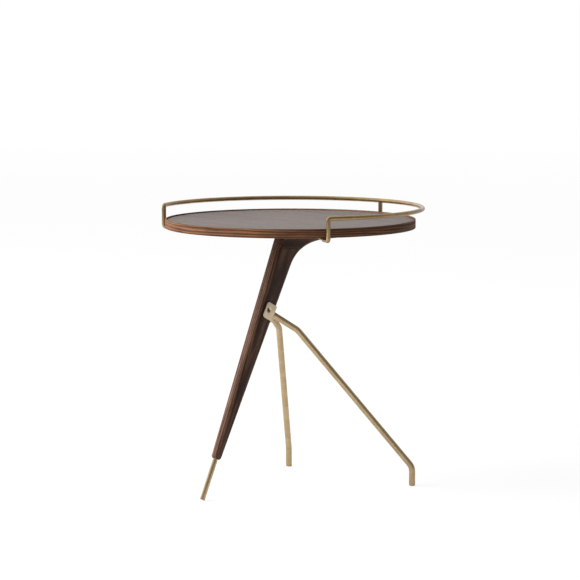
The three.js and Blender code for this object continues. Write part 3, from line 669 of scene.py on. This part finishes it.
# %% The rear post, from its eye up into the rail
post, post_path = start_hook("brass_rear_post")
corners = [post_path[-1], post_foot, back_point(RAIL_RADIUS, RAIL_HEIGHT - 0.5 * MM)]
post_path = post_path[:-1] + follow_corners(corners, [TIGHT_BEND], 9)
close_piece()
tidy_mesh(post)
eye_hole(post, 0)
print("rear post rod", round(map_rod(post, post_path), 3), "m long")
finish_piece(post, rail_finish, ["rail_rear_post"])

# %% [markdown]
# The post is brazed to the rail from below. The bead follows the line where two equal rods
# meet, which rises towards the front and the back like a saddle.

# %% Brazed bead under the rail
BEAD = 0.55 * MM
bead = add_primitive(
    bpy.ops.mesh.primitive_torus_add, "brazed_bead_rear_post", location=back_point(RAIL_RADIUS, 0),
    major_radius=RAIL_ROD - 0.4 * MM, minor_radius=BEAD, major_segments=48, minor_segments=10)
for vertex in bead.data.vertices:
    x, y = vertex.co.x, vertex.co.y - AXIS.y - RAIL_RADIUS
    reach = math.sqrt(max(RAIL_ROD ** 2 - min(abs(y), RAIL_ROD) ** 2, 0))
    vertex.co.z += RAIL_HEIGHT - reach - 0.1 * MM
finish_piece(bead, rail_finish, [])

# %% [markdown]
# ## The brass legs
# Each leg leaves the bracket downwards and outwards, bends to a flatter slope, and bends again
# to stand upright on the floor. The right one is bent, its start is cut to the bracket and to
# its twin, and the left one is a mirrored copy.

# %% Sizes of the brass legs and the bracket
LEG_ROD = 5.6 * MM
leg_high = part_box("brass_leg_right")[1]
BACK_TILT = math.radians(27.5)  # tilt of the walnut leg's back face
bracket_low, bracket_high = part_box("leg_bracket")
BRACKET_LENGTH = 29.5 * MM
BRACKET_DEPTH = 28 * MM
SHEET = 2 * MM
WEB_GAP = 0.3 * MM
BACK_POINT = AXIS + Vector((0, -17.6 * MM, 381.9 * MM))  # on the walnut leg's back face
BRACKET_Z = 316.9 * MM
bracket_y = BACK_POINT.y + (BRACKET_Z - BACK_POINT.z) * math.tan(BACK_TILT)
bracket_place = Vector((0, bracket_y, BRACKET_Z))
out_of_leg = Vector((0, math.cos(BACK_TILT), -math.sin(BACK_TILT)))
up_the_leg = Vector((0, math.sin(BACK_TILT), math.cos(BACK_TILT)))
web_face = bracket_place + out_of_leg * (WEB_GAP + SHEET)
print("bracket from", round(bracket_low.z, 4), "to", round(bracket_high.z, 4), "m above the floor")

# %% The right leg
leg_start = web_face + up_the_leg * 1.4 * MM + Vector((3 * MM, 0, 0))
leg_knee = AXIS + Vector((23.4, -5.4, 286.7)) * MM
leg_ankle = Vector((leg_high.x - LEG_ROD, leg_high.y - LEG_ROD, 34.3 * MM))
leg_foot = Vector((leg_ankle.x, leg_ankle.y, 0))
heading = (leg_knee - leg_start).normalized()
corners = [leg_start - heading * 12 * MM, leg_knee, leg_ankle, leg_foot]
right_leg = start_rod("brass_leg_right_rod", corners[0], heading, LEG_ROD, 40)
leg_path = follow_corners(corners, [30 * MM, 22 * MM], 14)
bpy.ops.mesh.select_mode(type="FACE")
bpy.ops.mesh.bevel(offset=2.4 * MM, segments=5, affect="EDGES", clamp_overlap=False)
bpy.ops.mesh.select_all(action="SELECT")
bpy.ops.mesh.bisect(plane_co=tuple(web_face + out_of_leg * 0.05 * MM), plane_no=tuple(out_of_leg),
                    use_fill=True, clear_inner=True)
bpy.ops.mesh.select_all(action="SELECT")
bpy.ops.mesh.bisect(plane_co=(0.05 * MM, 0, 0), plane_no=(1, 0, 0), use_fill=True, clear_inner=True)
close_piece()
tidy_mesh(right_leg)
print("leg rod", round(map_rod(right_leg, leg_path), 3), "m long")

# %% The left leg, a mirrored copy
left_leg = right_leg.copy()
left_leg.data = right_leg.data.copy()
left_leg.name = left_leg.data.name = "brass_leg_left_rod"
bpy.context.scene.collection.objects.link(left_leg)
left_leg.scale.x = -1
select_only(left_leg)
bpy.ops.object.transform_apply(location=True, rotation=True, scale=True)
tidy_mesh(left_leg)
finish_piece(right_leg, rod_finish, ["brass_leg_right"])
finish_piece(left_leg, rod_finish, ["brass_leg_left"])

# %% Brazed bead where the legs leave the bracket
bead = add_primitive(
    bpy.ops.mesh.primitive_torus_add, "brazed_bead_bracket", major_radius=LEG_ROD * 1.06,
    minor_radius=0.9 * MM, major_segments=56, minor_segments=10,
    rotation=(-math.pi / 2 - BACK_TILT, 0, 0))
open_piece(bead)
bpy.ops.mesh.select_all(action="SELECT")
bpy.ops.transform.resize(value=(1.5, 1.08, 1.08), center_override=(0, 0, 0))
bpy.ops.transform.translate(value=tuple(web_face + up_the_leg * 0.7 * MM))
close_piece()
finish_piece(bead, rod_finish, [])

# %% [markdown]
# ## The folded bracket
# A strip of 2 mm sheet folded into a U round the walnut leg and held by one bolt right through
# the wood. It is drawn flat on the leg's back as a plane, its two side edges are pulled forward
# as cheeks, the folds and the corners are rounded with bevels, and then it gets its thickness.

# %% The folded strip
CHEEK_OUTSIDE = 13.1 * MM
FOLD_RADIUS = 8.5 * MM
web_y = WEB_GAP + SHEET
bracket = add_primitive(
    bpy.ops.mesh.primitive_plane_add, "brass_folded_bracket", size=1,
    location=(0, web_y, 0), rotation=(-math.pi / 2, 0, 0))
open_piece(bracket)
bpy.ops.mesh.select_all(action="SELECT")
bpy.ops.transform.resize(value=(2 * CHEEK_OUTSIDE, 1, BRACKET_LENGTH),
                         center_override=(0, web_y, 0))
pick(bracket, "EDGE", lambda edge: abs(middle(edge).x) > CHEEK_OUTSIDE * 0.9)
bpy.ops.mesh.extrude_edges_move(
    TRANSFORM_OT_translate={"value": (0, -web_y - BRACKET_DEPTH, 0)})
pick(bracket, "EDGE", lambda edge: abs(middle(edge).x) > CHEEK_OUTSIDE * 0.9
     and abs(middle(edge).y - web_y) < 0.1 * MM)
bpy.ops.mesh.bevel(offset=FOLD_RADIUS, segments=9, affect="EDGES", clamp_overlap=False)
pick(bracket, "VERT", lambda vertex: vertex.co.y < -BRACKET_DEPTH + 0.1 * MM)
bpy.ops.mesh.bevel(offset=5 * MM, segments=6, affect="VERTICES", clamp_overlap=False)
close_piece()
tidy_mesh(bracket)
open_piece(bracket)
pick(bracket, "FACE", lambda face: middle(face).y > web_y - 0.1 * MM)
outward = all(f.normal.y > 0 for f in bmesh.from_edit_mesh(bracket.data).faces if f.select)
if not outward:
    bpy.ops.mesh.select_all(action="SELECT")
    bpy.ops.mesh.flip_normals()
close_piece()
apply_modifier(bracket, "SOLIDIFY", thickness=SHEET, offset=-1)
print("bracket faces", len(bracket.data.polygons), "turned over" if not outward else "")

# %% Its countersunk holes and softened edges
BOLT_Y = -BRACKET_DEPTH + 9 * MM
BOLT_Z = 1.5 * MM
HEAD_RADIUS = 3.2 * MM
HEAD_RECESS = 1.1 * MM
SINK_RADIUS = 5.1 * MM
SHANK_RADIUS = 2.2 * MM
for cheek in (1, -1):
    face = Vector((cheek * CHEEK_OUTSIDE, BOLT_Y, BOLT_Z))
    sink = add_primitive(
        bpy.ops.mesh.primitive_cone_add, "countersink", vertices=48, radius1=SINK_RADIUS + 1 * MM,
        radius2=SHANK_RADIUS + 0.3 * MM, depth=3.2 * MM,
        location=face - Vector((cheek * 0.6 * MM, 0, 0)), rotation=(0, -cheek * math.pi / 2, 0))
    cut_out(bracket, sink)
    bore(bracket, face - Vector((cheek * 4 * MM, 0, 0)), face + Vector((cheek * 2 * MM, 0, 0)),
         SHANK_RADIUS + 0.4 * MM, 48)
apply_modifier(bracket, "BEVEL", width=0.28 * MM, segments=2, limit_method="ANGLE",
               angle_limit=math.radians(50), use_clamp_overlap=True)


def onto_leg(piece):
    """Moves a piece drawn in the bracket's own axes onto the back of the walnut leg."""
    select_only(piece)
    piece.rotation_euler = (-BACK_TILT, 0, 0)
    piece.location = bracket_place
    bpy.ops.object.transform_apply(location=True, rotation=True, scale=True)


onto_leg(bracket)
finish_piece(bracket, sheet_finish_painted_reflection, ["leg_bracket"], 30)

# %% [markdown]
# The bolt goes in from the right cheek and screws into a sleeve nut from the left one. Both
# heads are countersunk and sit a little below the face, which leaves a dark ring round them.
# Their brass is painted darker than the rod brass as well, as painted shade of the sunken heads.


# %% Bolt and sleeve nut
def flush_head(name, cheek, shank, length):
    """A countersunk head with a hex socket and a plain stem, pointing into the leg."""
    inwards = Vector((-cheek, 0, 0))
    face = Vector((cheek * (CHEEK_OUTSIDE - HEAD_RECESS), BOLT_Y, BOLT_Z))
    fixing = start_rod(name, face, inwards, HEAD_RADIUS, 48)
    push(inwards * 0.3 * MM)
    push(inwards * (HEAD_RADIUS - shank))
    size = shank / HEAD_RADIUS
    bpy.ops.transform.resize(value=(1, size, size), center_override=tuple(face))
    push(inwards * (length - HEAD_RADIUS + shank))
    close_piece()
    tidy_mesh(fixing)
    socket = add_primitive(
        bpy.ops.mesh.primitive_cylinder_add, "hex_key", vertices=6, radius=1.9 * MM,
        depth=3 * MM, location=face, rotation=(0, math.pi / 2, 0))
    cut_out(fixing, socket)
    apply_modifier(fixing, "BEVEL", width=0.22 * MM, segments=2, limit_method="ANGLE",
                   angle_limit=math.radians(50), use_clamp_overlap=True)
    onto_leg(fixing)
    return fixing


bolt = flush_head("brass_through_bolt", 1, SHANK_RADIUS, 18 * MM)
finish_piece(bolt, bolt_finish_painted_shade, ["bracket_bolt"], 30)
sleeve = flush_head("brass_sleeve_nut", -1, 3.3 * MM, 16 * MM)
finish_piece(sleeve, bolt_finish_painted_shade, ["bracket_sleeve_nut"], 30)

# %% [markdown]
# ## The walnut leg
# Seen from the side the leg leans back, widens upwards and sweeps in one curve into an arm that
# lies under the top. The two are shaped as one blank, sawn to that outline, so the blank starts
# as that side view: a strip of faces whose vertices are pulled onto the outline. The strip gets
# the board's thickness, is thinned towards the foot, and then its long edges are rounded over
# with one bevel, as with a router.

# %% The side view of the leg
FRONT_TILT = math.radians(23.3)
FRONT_POINT = (-34.0, 448.9)  # on the front face, (y, z) in mm from the table's axis
BACK_FACE = (-17.6, 381.9)
LEG_END = (-188.9, 70.6)
TIP_TILT = math.radians(25.5)
FILLET_LOW = 402.8  # height where the curve into the arm begins
FILLET_LOW_PULL = 28.5
FILLET_HIGH = 90.0  # where it runs out along the arm
FILLET_HIGH_PULL = 53.6
BLANK_TOP = 482.0
ARM_BOTTOM = 444.0
ARM_END = 130.0
ARM_NOSE = 16.0
LEG_WIDE, LEG_NARROW = 24 * MM, 17 * MM


def front_y(z):
    """The front face's place at a height."""
    return FRONT_POINT[0] + (z - FRONT_POINT[1]) * math.tan(FRONT_TILT)


def back_y(z):
    """The back face's place at a height."""
    return BACK_FACE[0] + (z - BACK_FACE[1]) * math.tan(BACK_TILT)


def across_leg(y, z):
    """Where the line square to the leg's middle meets the front and the back face."""
    pair = []
    for point, tilt in ((FRONT_POINT, FRONT_TILT), (BACK_FACE, BACK_TILT)):
        step = (y - point[0] - (z - point[1]) * math.tan(tilt)) / (
            math.cos(TIP_TILT) + math.sin(TIP_TILT) * math.tan(tilt))
        pair.append((y - step * math.cos(TIP_TILT), z + step * math.sin(TIP_TILT)))
    return pair


def bezier(points, t):
    """A point on a cubic Bezier curve."""
    weights = ((1 - t) ** 3, 3 * t * (1 - t) ** 2, 3 * t * t * (1 - t), t ** 3)
    return tuple(sum(w * p[axis] for w, p in zip(weights, points)) for axis in (0, 1))


stations = []  # pairs of (y, z): on the outer line, on the inner line
fillet = [(back_y(FILLET_LOW), FILLET_LOW),
          (back_y(FILLET_LOW) + FILLET_LOW_PULL * math.sin(BACK_TILT),
           FILLET_LOW + FILLET_LOW_PULL * math.cos(BACK_TILT)),
          (FILLET_HIGH - FILLET_HIGH_PULL, ARM_BOTTOM), (FILLET_HIGH, ARM_BOTTOM)]
low_pair = across_leg(*LEG_END)
high_front = across_leg(*fillet[0])[0]
for step in range(9):
    share = step / 8
    stations.append(tuple(
        tuple(a + (b - a) * share for a, b in zip(low, high))
        for low, high in ((low_pair[0], high_front), (low_pair[1], fillet[0]))))
corner = (front_y(BLANK_TOP), BLANK_TOP)
for step in range(1, 19):
    share = step / 18
    if share <= 1 / 3:
        outer = tuple(a + (b - a) * share * 3 for a, b in zip(high_front, corner))
    else:
        outer = (corner[0] + (FILLET_HIGH - corner[0]) * (share - 1 / 3) * 1.5, BLANK_TOP)
    stations.append((outer, bezier(fillet, share)))
for y in (100.0, ARM_END):
    stations.append(((y, BLANK_TOP), (y, ARM_BOTTOM)))
print(len(stations), "stations along the leg")

# %% The board
def leg_place(point, x=0.0):
    """A side-view point as a place in the table's frame."""
    return AXIS + Vector((x, point[0] * MM, point[1] * MM))


leg = add_primitive(
    bpy.ops.mesh.primitive_grid_add, "walnut_tapered_leg", x_subdivisions=1,
    y_subdivisions=len(stations) - 1, size=1)
order = sorted(range(len(leg.data.vertices)),
               key=lambda i: (round(leg.data.vertices[i].co.y, 4), leg.data.vertices[i].co.x))
open_piece(leg)
bpy.ops.mesh.select_mode(type="VERT")
mesh = bmesh.from_edit_mesh(leg.data)
for number, index in enumerate(order):
    bpy.ops.mesh.select_all(action="DESELECT")
    mesh = bmesh.from_edit_mesh(leg.data)
    mesh.verts.ensure_lookup_table()
    vertex = mesh.verts[index]
    vertex.select_set(True)
    target = leg_place(stations[number // 2][number % 2], -LEG_WIDE / 2)
    move = target - vertex.co
    bmesh.update_edit_mesh(leg.data)
    bpy.ops.transform.translate(value=tuple(move))
bpy.ops.mesh.select_mode(type="FACE")
bpy.ops.mesh.select_all(action="SELECT")
push(Vector((LEG_WIDE, 0, 0)))
for outer, inner in stations:
    height = (outer[1] + inner[1]) / 2 * MM
    share = min((height - LEG_END[1] * MM) / (band_low.z - LEG_END[1] * MM), 1.0)
    width = LEG_NARROW + (LEG_WIDE - LEG_NARROW) * share
    ends = [leg_place(outer), leg_place(inner)]
    pick(leg, "VERT", lambda v: min((Vector((0, v.co.y, v.co.z)) - e).length for e in ends) < 1e-6)
    bpy.ops.transform.resize(value=(width / LEG_WIDE, 1, 1), center_override=(0, 0, 0))
close_piece()
tidy_mesh(leg)
print("board", [round(v * 1000, 1) for v in leg.dimensions])

# %% Rounding its long edges and its lower end
LEG_ROUNDING = 7 * MM
end_middle = leg_place(LEG_END)
along_leg = Vector((0, math.sin(TIP_TILT), math.cos(TIP_TILT)))


def on_cut_end(vertex):
    """True for a vertex on the leg's lower end."""
    return abs((vertex.co - end_middle).dot(along_leg)) < 0.02 * MM


open_piece(leg)
nose = leg_place((ARM_END, ARM_BOTTOM))
pick(leg, "EDGE", lambda edge: (Vector((0, *middle(edge).yz)) - nose).length < 0.01 * MM)
bpy.ops.mesh.bevel(offset=ARM_NOSE * MM, segments=8, affect="EDGES", clamp_overlap=False)
long_edges = pick(leg, "EDGE", lambda edge: len(edge.link_faces) == 2
                  and edge.calc_face_angle() > math.radians(50)
                  and abs(edge.verts[0].co.x - edge.verts[1].co.x) < 2 * MM
                  and not all(on_cut_end(vertex) for vertex in edge.verts))
bpy.ops.mesh.bevel(offset=LEG_ROUNDING, segments=7, affect="EDGES", clamp_overlap=False)
end_edges = pick(leg, "EDGE", lambda edge: all(on_cut_end(vertex) for vertex in edge.verts)
                 and edge.calc_face_angle(0) > math.radians(50))
bpy.ops.mesh.bevel(offset=5 * MM, segments=5, affect="EDGES", clamp_overlap=False)
bpy.ops.mesh.select_all(action="SELECT")
bpy.ops.mesh.bisect(plane_co=(0, 0, band_low.z - 0.02 * MM), plane_no=(0, 0, 1), use_fill=True,
                    clear_outer=True)
close_piece()
tidy_mesh(leg)
print(long_edges, "long edges and", end_edges, "end edges rounded")

# %% [markdown]
# The leg and the arm are two boards. The arm's grain runs level, the leg's runs down the leg,
# and a flat glue line with two hidden dowels joins them. They are shaped together after gluing,
# so the rounded blank is copied and each copy keeps its own side of the glue line.

# %% The glue line between the leg and the arm
SEAM = 433 * MM
SEAM_GAP = 0.3 * MM


def keep_part(piece, height, upper):
    """Cuts a piece level at a height, closes the cut and keeps one part."""
    open_piece(piece)
    bpy.ops.mesh.select_all(action="SELECT")
    bpy.ops.mesh.bisect(plane_co=(0, 0, height), plane_no=(0, 0, 1), use_fill=True,
                        clear_inner=upper, clear_outer=not upper)
    close_piece()
    tidy_mesh(piece)


select_only(leg)
bpy.ops.object.duplicate(linked=False)
arm = bpy.context.active_object
arm.name = "walnut_arm_under_top"
keep_part(arm, SEAM, True)
keep_part(leg, SEAM - SEAM_GAP, False)
print("arm", [round(v * 1000, 1) for v in arm.dimensions],
      "leg", [round(v * 1000, 1) for v in leg.dimensions])

# %% Holes for the brass tip, the bolt, the screws and the dowels
SCREW_Y = (30, 75, 120)
SCREW_SEAT = 458
COUNTERBORE, CLEARANCE_HOLE, DOWEL_HOLE = 5.6 * MM, 2.8 * MM, 4.3 * MM
DOWEL_Y = (-5, 52)
JOINT_DOWEL_Y = (-26, -10)
TIP_ROD = 4.5 * MM
TIP_TENON = 40 * MM  # length let into the walnut
FIT = 0.3 * MM
bore(leg, end_middle - along_leg * 6 * MM, end_middle + along_leg * (TIP_TENON + FIT),
     TIP_ROD + 0.25 * MM, 40)
bolt_place = bracket_place + out_of_leg * BOLT_Y + up_the_leg * BOLT_Z
bore(leg, bolt_place - Vector((0.03, 0, 0)), bolt_place + Vector((0.03, 0, 0)), 3.6 * MM)
for y in SCREW_Y:
    bore(arm, leg_place((y, 430)), leg_place((y, SCREW_SEAT)), COUNTERBORE)
    bore(arm, leg_place((y, SCREW_SEAT - 1)), leg_place((y, 471)), CLEARANCE_HOLE)
for y in DOWEL_Y:
    bore(arm, leg_place((y, 449.7)), leg_place((y, 471)), DOWEL_HOLE)
for y in JOINT_DOWEL_Y:
    for board in (leg, arm):
        bore(board, leg_place((y, 418.7)), leg_place((y, 447.3)), DOWEL_HOLE)
tidy_mesh(leg)
tidy_mesh(arm)
finish_piece(leg, walnut_leg_finish, ["walnut_leg"], 40)
finish_piece(arm, walnut_arm_finish, ["walnut_arm"], 40)

# %% [markdown]
# ## The brass tip
# A straight rod let 40 mm into the end of the walnut leg, cut square at the floor end, so it
# stands on the lower rim of that cut.

# %% Tip rod
tip_length = (LEG_END[1] * MM - TIP_ROD * math.sin(TIP_TILT)) / math.cos(TIP_TILT)
tip_top = end_middle + along_leg * TIP_TENON
tip = start_rod("brass_leg_tip", tip_top, -along_leg, TIP_ROD, 36)
tip_path = [tip_top, end_middle - along_leg * tip_length]
push(tip_path[1] - tip_path[0])
bpy.ops.mesh.select_mode(type="FACE")
bpy.ops.mesh.bevel(offset=0.5 * MM, segments=3, affect="EDGES", clamp_overlap=False)
close_piece()
tidy_mesh(tip)
print("tip rod", round(map_rod(tip, tip_path), 3), "m long")
finish_piece(tip, rod_finish, ["brass_tip_rod"])

# %% [markdown]
# ## The round top
# A veneered board inside a solid walnut edge band that stands 2 mm proud as a lip. The band is
# an open cylinder that is given its wall inwards and has its rims softened with a bevel. It gets
# a map of its own, unrolled round the table, so that the grain runs round the rim.

# %% Edge band
BAND_SIDES = 240
BAND_WALL = 3.5 * MM
band_height = band_high.z - band_low.z
band = add_primitive(
    bpy.ops.mesh.primitive_cylinder_add, "walnut_edge_band", vertices=BAND_SIDES,
    radius=TOP_RADIUS, depth=band_height, end_fill_type="NOTHING",
    location=(AXIS.x, AXIS.y, (band_low.z + band_high.z) / 2))
apply_modifier(band, "SOLIDIFY", thickness=BAND_WALL, offset=-1)
tidy_mesh(band)
apply_modifier(band, "BEVEL", width=0.85 * MM, segments=4, limit_method="ANGLE",
               angle_limit=math.radians(50))


def unroll(piece, map_name, radius, start_angle):
    """Maps a ring: U is the distance round it in metres, V goes down and over its profile."""
    layer = piece.data.uv_layers.new(name=map_name)
    for face in piece.data.polygons:
        angles = []
        for loop in face.loop_indices:
            place = piece.data.vertices[piece.data.loops[loop].vertex_index].co - AXIS
            angles.append((math.atan2(place.x, place.y) - start_angle) % (2 * math.pi))
        if max(angles) - min(angles) > math.pi:
            angles = [a + 2 * math.pi if a < math.pi else a for a in angles]
        for loop, angle in zip(face.loop_indices, angles):
            place = piece.data.vertices[piece.data.loops[loop].vertex_index].co - AXIS
            reach = math.hypot(place.x, place.y)
            layer.data[loop].uv = (angle * radius, place.z - reach)


unroll(band, "round_the_top", TOP_RADIUS, math.radians(8))
finish_piece(band, walnut_band_finish, ["edge_band"], 30)

# %% Top veneer
veneer_low, veneer_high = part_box("top_veneer")
veneer_radius = (veneer_high.x - veneer_low.x) / 2
veneer = add_primitive(
    bpy.ops.mesh.primitive_cylinder_add, "walnut_top_face", vertices=BAND_SIDES,
    radius=veneer_radius, depth=veneer_high.z - veneer_low.z,
    location=(AXIS.x, AXIS.y, (veneer_low.z + veneer_high.z) / 2))
open_piece(veneer)
pick(veneer, "FACE", lambda face: face.normal.z > 0.9)
bpy.ops.mesh.inset(thickness=12 * MM)
bpy.ops.mesh.inset(thickness=60 * MM)
close_piece()
apply_modifier(veneer, "BEVEL", width=0.15 * MM, segments=2, limit_method="ANGLE",
               angle_limit=math.radians(50))
finish_piece(veneer, walnut_top_finish, ["top_veneer"], 30)

# %% [markdown]
# ## Pieces that stay as the CAD made them
# The board inside the top, its underside veneer, the dowels, inserts and screws have the right
# shape already. They only get finishes: layered wood, beech, plated steel and brass.


# %% Finishes for the hidden pieces
def plain_wood(name, dark, light, turn, stretch, scale, rough):
    """A pale wood: streaks along the grain."""
    material = new_material(name)
    tree = material.node_tree
    place = put(tree, "ShaderNodeTexCoord").outputs["Object"]
    along = put(tree, "ShaderNodeMapping", Vector=place, Rotation=turn, Scale=stretch)
    streaks = put(tree, "ShaderNodeTexNoise", Vector=along.outputs[0], Scale=scale, Detail=5,
                  Roughness=0.6)
    colour = ramp(tree, streaks.outputs["Fac"], [(0.32, dark), (0.68, light)])
    roughness = rescale(tree, streaks.outputs["Fac"], 0.3, 0.7, rough + 0.1, rough - 0.05)
    relief = put(tree, "ShaderNodeBump", Height=streaks.outputs["Fac"], Strength=0.3,
                 Distance=0.0003)
    shader = put(tree, "ShaderNodeBsdfPrincipled", Base_Color=colour, Roughness=roughness,
                 Normal=relief.outputs[0])
    put(tree, "ShaderNodeOutputMaterial", Surface=shader.outputs[0])
    return material


def plated_steel():
    """Zinc-plated steel with faint turning lines and a cloudy shine."""
    material = new_material("plated_steel")
    tree = material.node_tree
    place = put(tree, "ShaderNodeTexCoord").outputs["Object"]
    cloud = put(tree, "ShaderNodeTexNoise", Vector=place, Scale=420, Detail=4)
    rings = put(tree, "ShaderNodeTexWave", {"bands_direction": "Z"}, Vector=place, Scale=900,
                Distortion=0.6)
    colour = ramp(tree, cloud.outputs["Fac"],
                  [(0.3, (0.36, 0.36, 0.35)), (0.7, (0.56, 0.57, 0.58))])
    roughness = rescale(tree, cloud.outputs["Fac"], 0.3, 0.7, 0.46, 0.3)
    relief = put(tree, "ShaderNodeBump", Height=rings.outputs["Fac"], Strength=0.2,
                 Distance=0.00005)
    shader = put(tree, "ShaderNodeBsdfPrincipled", Base_Color=colour, Metallic=1.0,
                 Roughness=roughness, Normal=relief.outputs[0])
    put(tree, "ShaderNodeOutputMaterial", Surface=shader.outputs[0])
    return material


core_finish = plain_wood("birch_board_core", (0.33, 0.22, 0.12), (0.56, 0.41, 0.25),
                         (0, 0, math.radians(90)), (0.2, 1, 14), 60, 0.7)
beech_finish = plain_wood("beech_dowel", (0.45, 0.29, 0.16), (0.62, 0.45, 0.28),
                          (0, 0, 0), (1, 1, 0.08), 500, 0.6)
steel_finish = plated_steel()
screw_finish = brass_finish("brass_screw", grain_along((math.radians(90), 0, 0)),
                            BRIGHT_BRASS, DULL_BRASS, 0.26)

# %% Putting them on
plain_nodes = {
    core_finish: ["top_core_panel"],
    walnut_under_finish: ["underside_veneer"],
    beech_finish: ["leg_dowel_1", "leg_dowel_2", "joint_dowel_1", "joint_dowel_2"],
    steel_finish: ["leg_screw_1", "leg_screw_2", "leg_screw_3"],
    screw_finish: ["threaded_insert_1", "threaded_insert_2", "threaded_insert_3",
                   "rail_screw_1", "rail_screw_2", "rail_screw_3"],
}
for material, names in plain_nodes.items():
    for name in names:
        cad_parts[name].material_slots[0].material = material
    print(material.name, "on", ", ".join(names))
